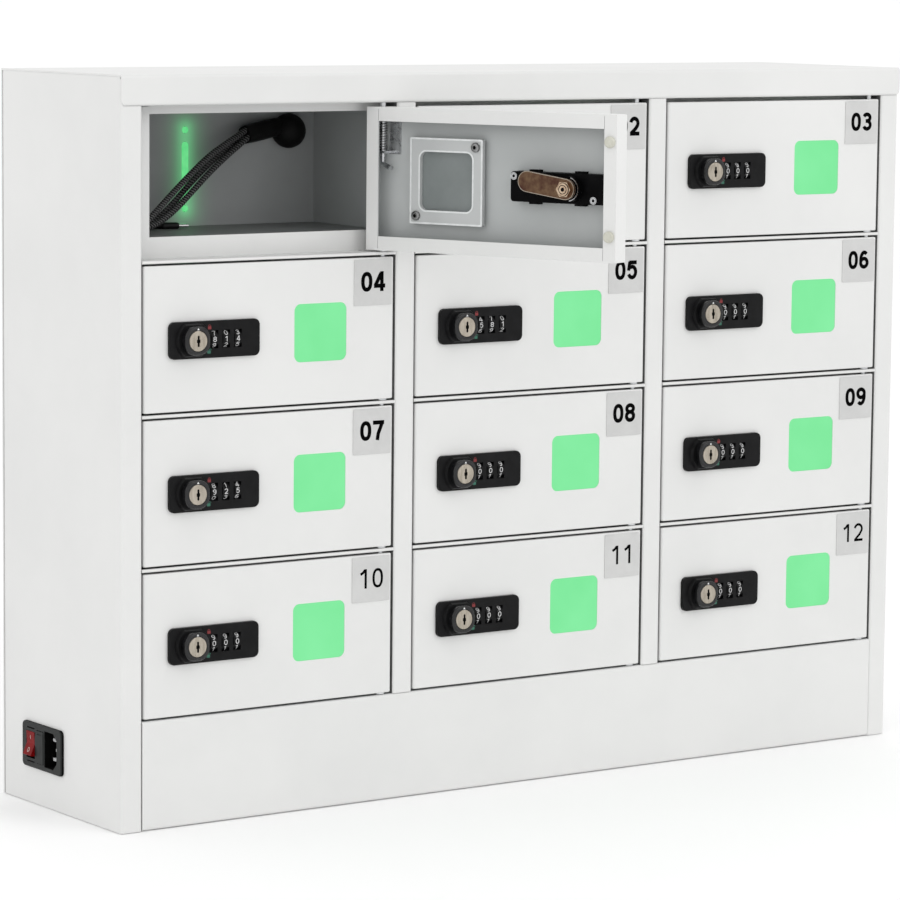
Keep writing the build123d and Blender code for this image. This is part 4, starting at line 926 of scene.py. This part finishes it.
# ------------------------------------------------------------------ small details on the backs of the doors
WIN_X, WIN_Z, WIN_W, WIN_H, WIN_R = 135.8, 49.3, 40.9, 38.5, 4.7
CAM_BACK, NUT_BACK, SHAFT_BACK, BOSS_BACK, SCREW_BACK, RET_BACK = 20.4, 22.85, 23.45, 16.7, 12.65, 6.65


def arc(cx, cz, r, a0, a1, n):
    return [(cx + r * math.cos(math.radians(a0 + (a1 - a0) * i / n)), cz + r * math.sin(math.radians(a0 + (a1 - a0) * i / n))) for i in range(n + 1)]


def raised(name, m, shapes, mats, body):
    """Low raised bands and plates on faces that look backwards: (inner line or None, outer line, closed, y, rise, material)."""
    verts, faces, idx = [], [], []
    for inner, outer, closed, y, rise, mi in shapes:
        base, c = len(verts), len(outer)
        if inner is None:
            for yy in (y, y + rise):
                verts.extend(m @ Vector((a, yy, b)) for a, b in outer)
            new = [tuple(range(base, base + c)), tuple(range(base + c, base + 2 * c))[::-1]]
            new += [(base + i, base + c + i, base + c + (i + 1) % c, base + (i + 1) % c) for i in range(c)]
        else:
            for yy in (y, y + rise):
                verts.extend(m @ Vector((a, yy, b)) for a, b in inner)
                verts.extend(m @ Vector((a, yy, b)) for a, b in outer)
            i0, o0, i1, o1 = base, base + c, base + 2 * c, base + 3 * c
            new = []
            for i in range(c if closed else c - 1):
                j = (i + 1) % c
                new += [(i1 + i, o1 + i, o1 + j, i1 + j), (i0 + i, i0 + j, o0 + j, o0 + i), (i0 + i, i1 + i, i1 + j, i0 + j), (o0 + i, o0 + j, o1 + j, o1 + i)]
            if not closed:
                e = c - 1
                new += [(i0, o0, o1, i1), (i0 + e, i1 + e, o1 + e, o0 + e)]
        faces.extend(new)
        idx.extend([mi] * len(new))
    ob = new_object(name, verts, faces, mats, smooth=False)
    ob.data.polygons.foreach_set("material_index", idx)
    bm = bmesh.new()
    bm.from_mesh(ob.data)
    bmesh.ops.recalc_face_normals(bm, faces=bm.faces)
    bm.to_mesh(ob.data)
    bm.free()
    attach(ob, body)
    return ob


def circle(cx, cz, r, n=28, turn=0.0):
    return arc(cx, cz, r, turn, turn + 360, n)[:-1]


def outline(w, h, r):
    return [(WIN_X + a, WIN_Z + b) for a, b, _ in rounded_ring(w, h, r, 0.0, 6)]


for n in range(1, 13):
    k = f"{n:02d}"
    m = door_matrix(n)
    # painted highlights: bright bands on the rim of the window's opening and on the bevel along the frame's outside
    raised(f"retainer_edge_highlights_{k}", m, [
        (outline(WIN_W + 0.1, WIN_H + 0.1, WIN_R), outline(WIN_W + 2.3, WIN_H + 2.3, WIN_R + 1.1), True, RET_BACK - 0.02, 0.14, 0),
        (outline(54.6, 54.6, 0.8), outline(56.9, 56.9, 1.0), True, RET_BACK - 0.02, 0.10, 0),
    ], (EDGE_HIGHLIGHT,), f"door_{k}_leaf")
    # dark sockets of the case screws with a dark ring round each, painted shade; and a bright arc on part of the stop
    # boss's edge, a painted highlight
    parts = []
    for x, z in ((79.4, LOCK_Z + 6.8), (19.0, LOCK_Z - 7.0)):
        parts.append((None, circle(x, z, 1.15, 6), True, SCREW_BACK - 0.02, 0.06, 0))
        parts.append((circle(x, z, 1.75), circle(x, z, 1.95), True, SCREW_BACK - 0.02, 0.06, 0))
    parts.append((arc(LOCK_X, LOCK_Z, 7.35, 105, 262, 24), arc(LOCK_X, LOCK_Z, 7.85, 105, 262, 24), False, BOSS_BACK - 0.02, 0.35, 1))
    raised(f"case_details_{k}", m, parts, (DARK, STEEL), f"door_{k}_leaf")
    # painted shade on the nut's washer face and the slotted end of the shaft: dark rings and a dark hexagon
    raised(f"nut_details_{k}", m, [
        (circle(LOCK_X, LOCK_Z, 4.12), circle(LOCK_X, LOCK_Z, 4.5), True, NUT_BACK - 0.02, 0.08, 0),
        (circle(LOCK_X, LOCK_Z, 2.55), circle(LOCK_X, LOCK_Z, 3.05), True, SHAFT_BACK - 0.02, 0.06, 0),
        (None, circle(LOCK_X, LOCK_Z, 1.45, 6, 15.0), True, SHAFT_BACK - 0.02, 0.06, 0),
    ], (DARK,), f"lock_knob_{k}")
# painted highlight: a bright band along the edge of the open door's cam
def cam_line(inset):
    r, half = 6.8 - inset, 29.2
    pts = arc(0, 0, r, 90, 270, 16) + arc(half, 0, r, -90, 90, 16)
    t = math.radians(8.0)
    return [(LOCK_X + a * math.cos(t) - b * math.sin(t), LOCK_Z + a * math.sin(t) + b * math.cos(t)) for a, b in pts]


raised("cam_edge_highlight_01", door_matrix(1), [(cam_line(0.42), cam_line(0.06), True, CAM_BACK - 0.02, 0.05, 0)], (NICKEL,), "lock_knob_01")

# ------------------------------------------------------------------ hinge spring of the open door, as real coils
m1 = door_matrix(1)
turns, per = 12, 22
LEDGE_Z, COLLAR_Z = 68.0, 89.0
hp = []
for i in range(turns * per + 1):
    a = 2 * math.pi * i / per
    hp.append(m1 @ Vector((PIN_X + 2.65 * math.cos(a), PIN_Y + 2.65 * math.sin(a), LEDGE_Z + 0.5 + (COLLAR_Z - LEDGE_Z - 1.0) * i / (turns * per))))
hp = np.array([tuple(q) for q in hp])
tan, side = frames_along(hp)
v, faces = [], []
for i in range(len(hp)):
    s2 = np.cross(tan[i], side[i])
    for k in range(8):
        a = 2 * math.pi * k / 8
        v.append(hp[i] + (side[i] * math.cos(a) + s2 * math.sin(a)) * 0.00042)
for i in range(len(hp) - 1):
    for k in range(8):
        j = (k + 1) % 8
        faces.append((i * 8 + k, i * 8 + j, (i + 1) * 8 + j, (i + 1) * 8 + k))
faces.append(tuple(range(8))[::-1])
faces.append(tuple(range((len(hp) - 1) * 8, len(hp) * 8)))
coil = new_object("hinge_coil_01", v, faces, (SCREW,))
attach(coil, "door_01_leaf")
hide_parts("hinge_spring_01")
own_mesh(coil)

# ------------------------------------------------------------------ marks of the rocker: a stroke above, a ring below
ROCK = Matrix.Translation(Vector((PX + 2.0, FY + 116.0, 40.2)) * MM) @ Matrix.Scale(MM, 4)
tip = math.radians(10.0)
out = Vector((-math.cos(tip), 0, math.sin(tip)))
upw = Vector((0, 1, 0)).cross(out) * -1
if upw.z < 0:
    upw = -upw
verts, faces = [], []


def rocker_mark(outline, half):
    """outline in (y, distance from the middle) on the upper or lower face of the rocker, by the sign of that distance.
    half (1 for the upper face, -1 for the lower) is not used.
    """
    base = len(verts)
    c = len(outline)
    for lift in (0.0, 0.12):
        for y, z in outline:
            x = 4.3 + 1.8 * abs(z) / 8.1 - 0.03 + lift
            verts.append(ROCK @ (out * x + upw * z + Vector((0, y, 0))))
    faces.append(tuple(range(base, base + c)))
    faces.append(tuple(range(base + c, base + 2 * c))[::-1])
    for i in range(c):
        j = (i + 1) % c
        faces.append((base + i, base + c + i, base + c + j, base + j))


rocker_mark([(-0.22, 2.9), (0.22, 2.9), (0.22, 5.5), (-0.22, 5.5)], 1)
ring_n = 20
for i in range(ring_n):
    a0, a1 = 2 * math.pi * i / ring_n, 2 * math.pi * (i + 1) / ring_n
    rocker_mark([(0.85 * math.cos(a0), -4.3 + 1.15 * math.sin(a0)), (0.85 * math.cos(a1), -4.3 + 1.15 * math.sin(a1)),
                 (1.25 * math.cos(a1), -4.3 + 1.6 * math.sin(a1)), (1.25 * math.cos(a0), -4.3 + 1.6 * math.sin(a0))], -1)
marks = new_object("rocker_marks", verts, faces, (ROCKER_MARK,), smooth=False)
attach(marks, "rocker")

# ------------------------------------------------------------------ floor, light
floor_mat = finish_mat("floor", (0.975, 0.975, 0.975), (0.98, 0.98, 0.98), rough=(0.6, 0.7), scale=2.0, bump=0.0)
floor = new_object("floor", [(-200, -200, -0.0004), (200, -200, -0.0004), (200, 200, -0.0004), (-200, 200, -0.0004)], [(0, 1, 2, 3)], (floor_mat,), smooth=False)
world = bpy.data.worlds.new("world")
scene.world = world
world.use_nodes = True
world.node_tree.nodes["Background"].inputs["Color"].default_value = (1, 1, 1, 1)
world.node_tree.nodes["Background"].inputs["Strength"].default_value = 1.04


def area(name, loc, target, size, energy):
    li = bpy.data.lights.new(name, "AREA")
    li.shape = "SQUARE"
    li.size = size
    li.energy = energy
    ob = bpy.data.objects.new(name, li)
    scene.collection.objects.link(ob)
    ob.location = loc
    ob.rotation_euler = (Vector(target) - Vector(loc)).to_track_quat("-Z", "Y").to_euler()
    return ob


area("key", (1.2, -3.0, 2.2), (0, 0, 0.25), 1.6, 16)
area("fill", (-3.0, -1.0, 1.6), (0, 0, 0.25), 2.0, 6)
scene.view_settings.view_transform = "Standard"
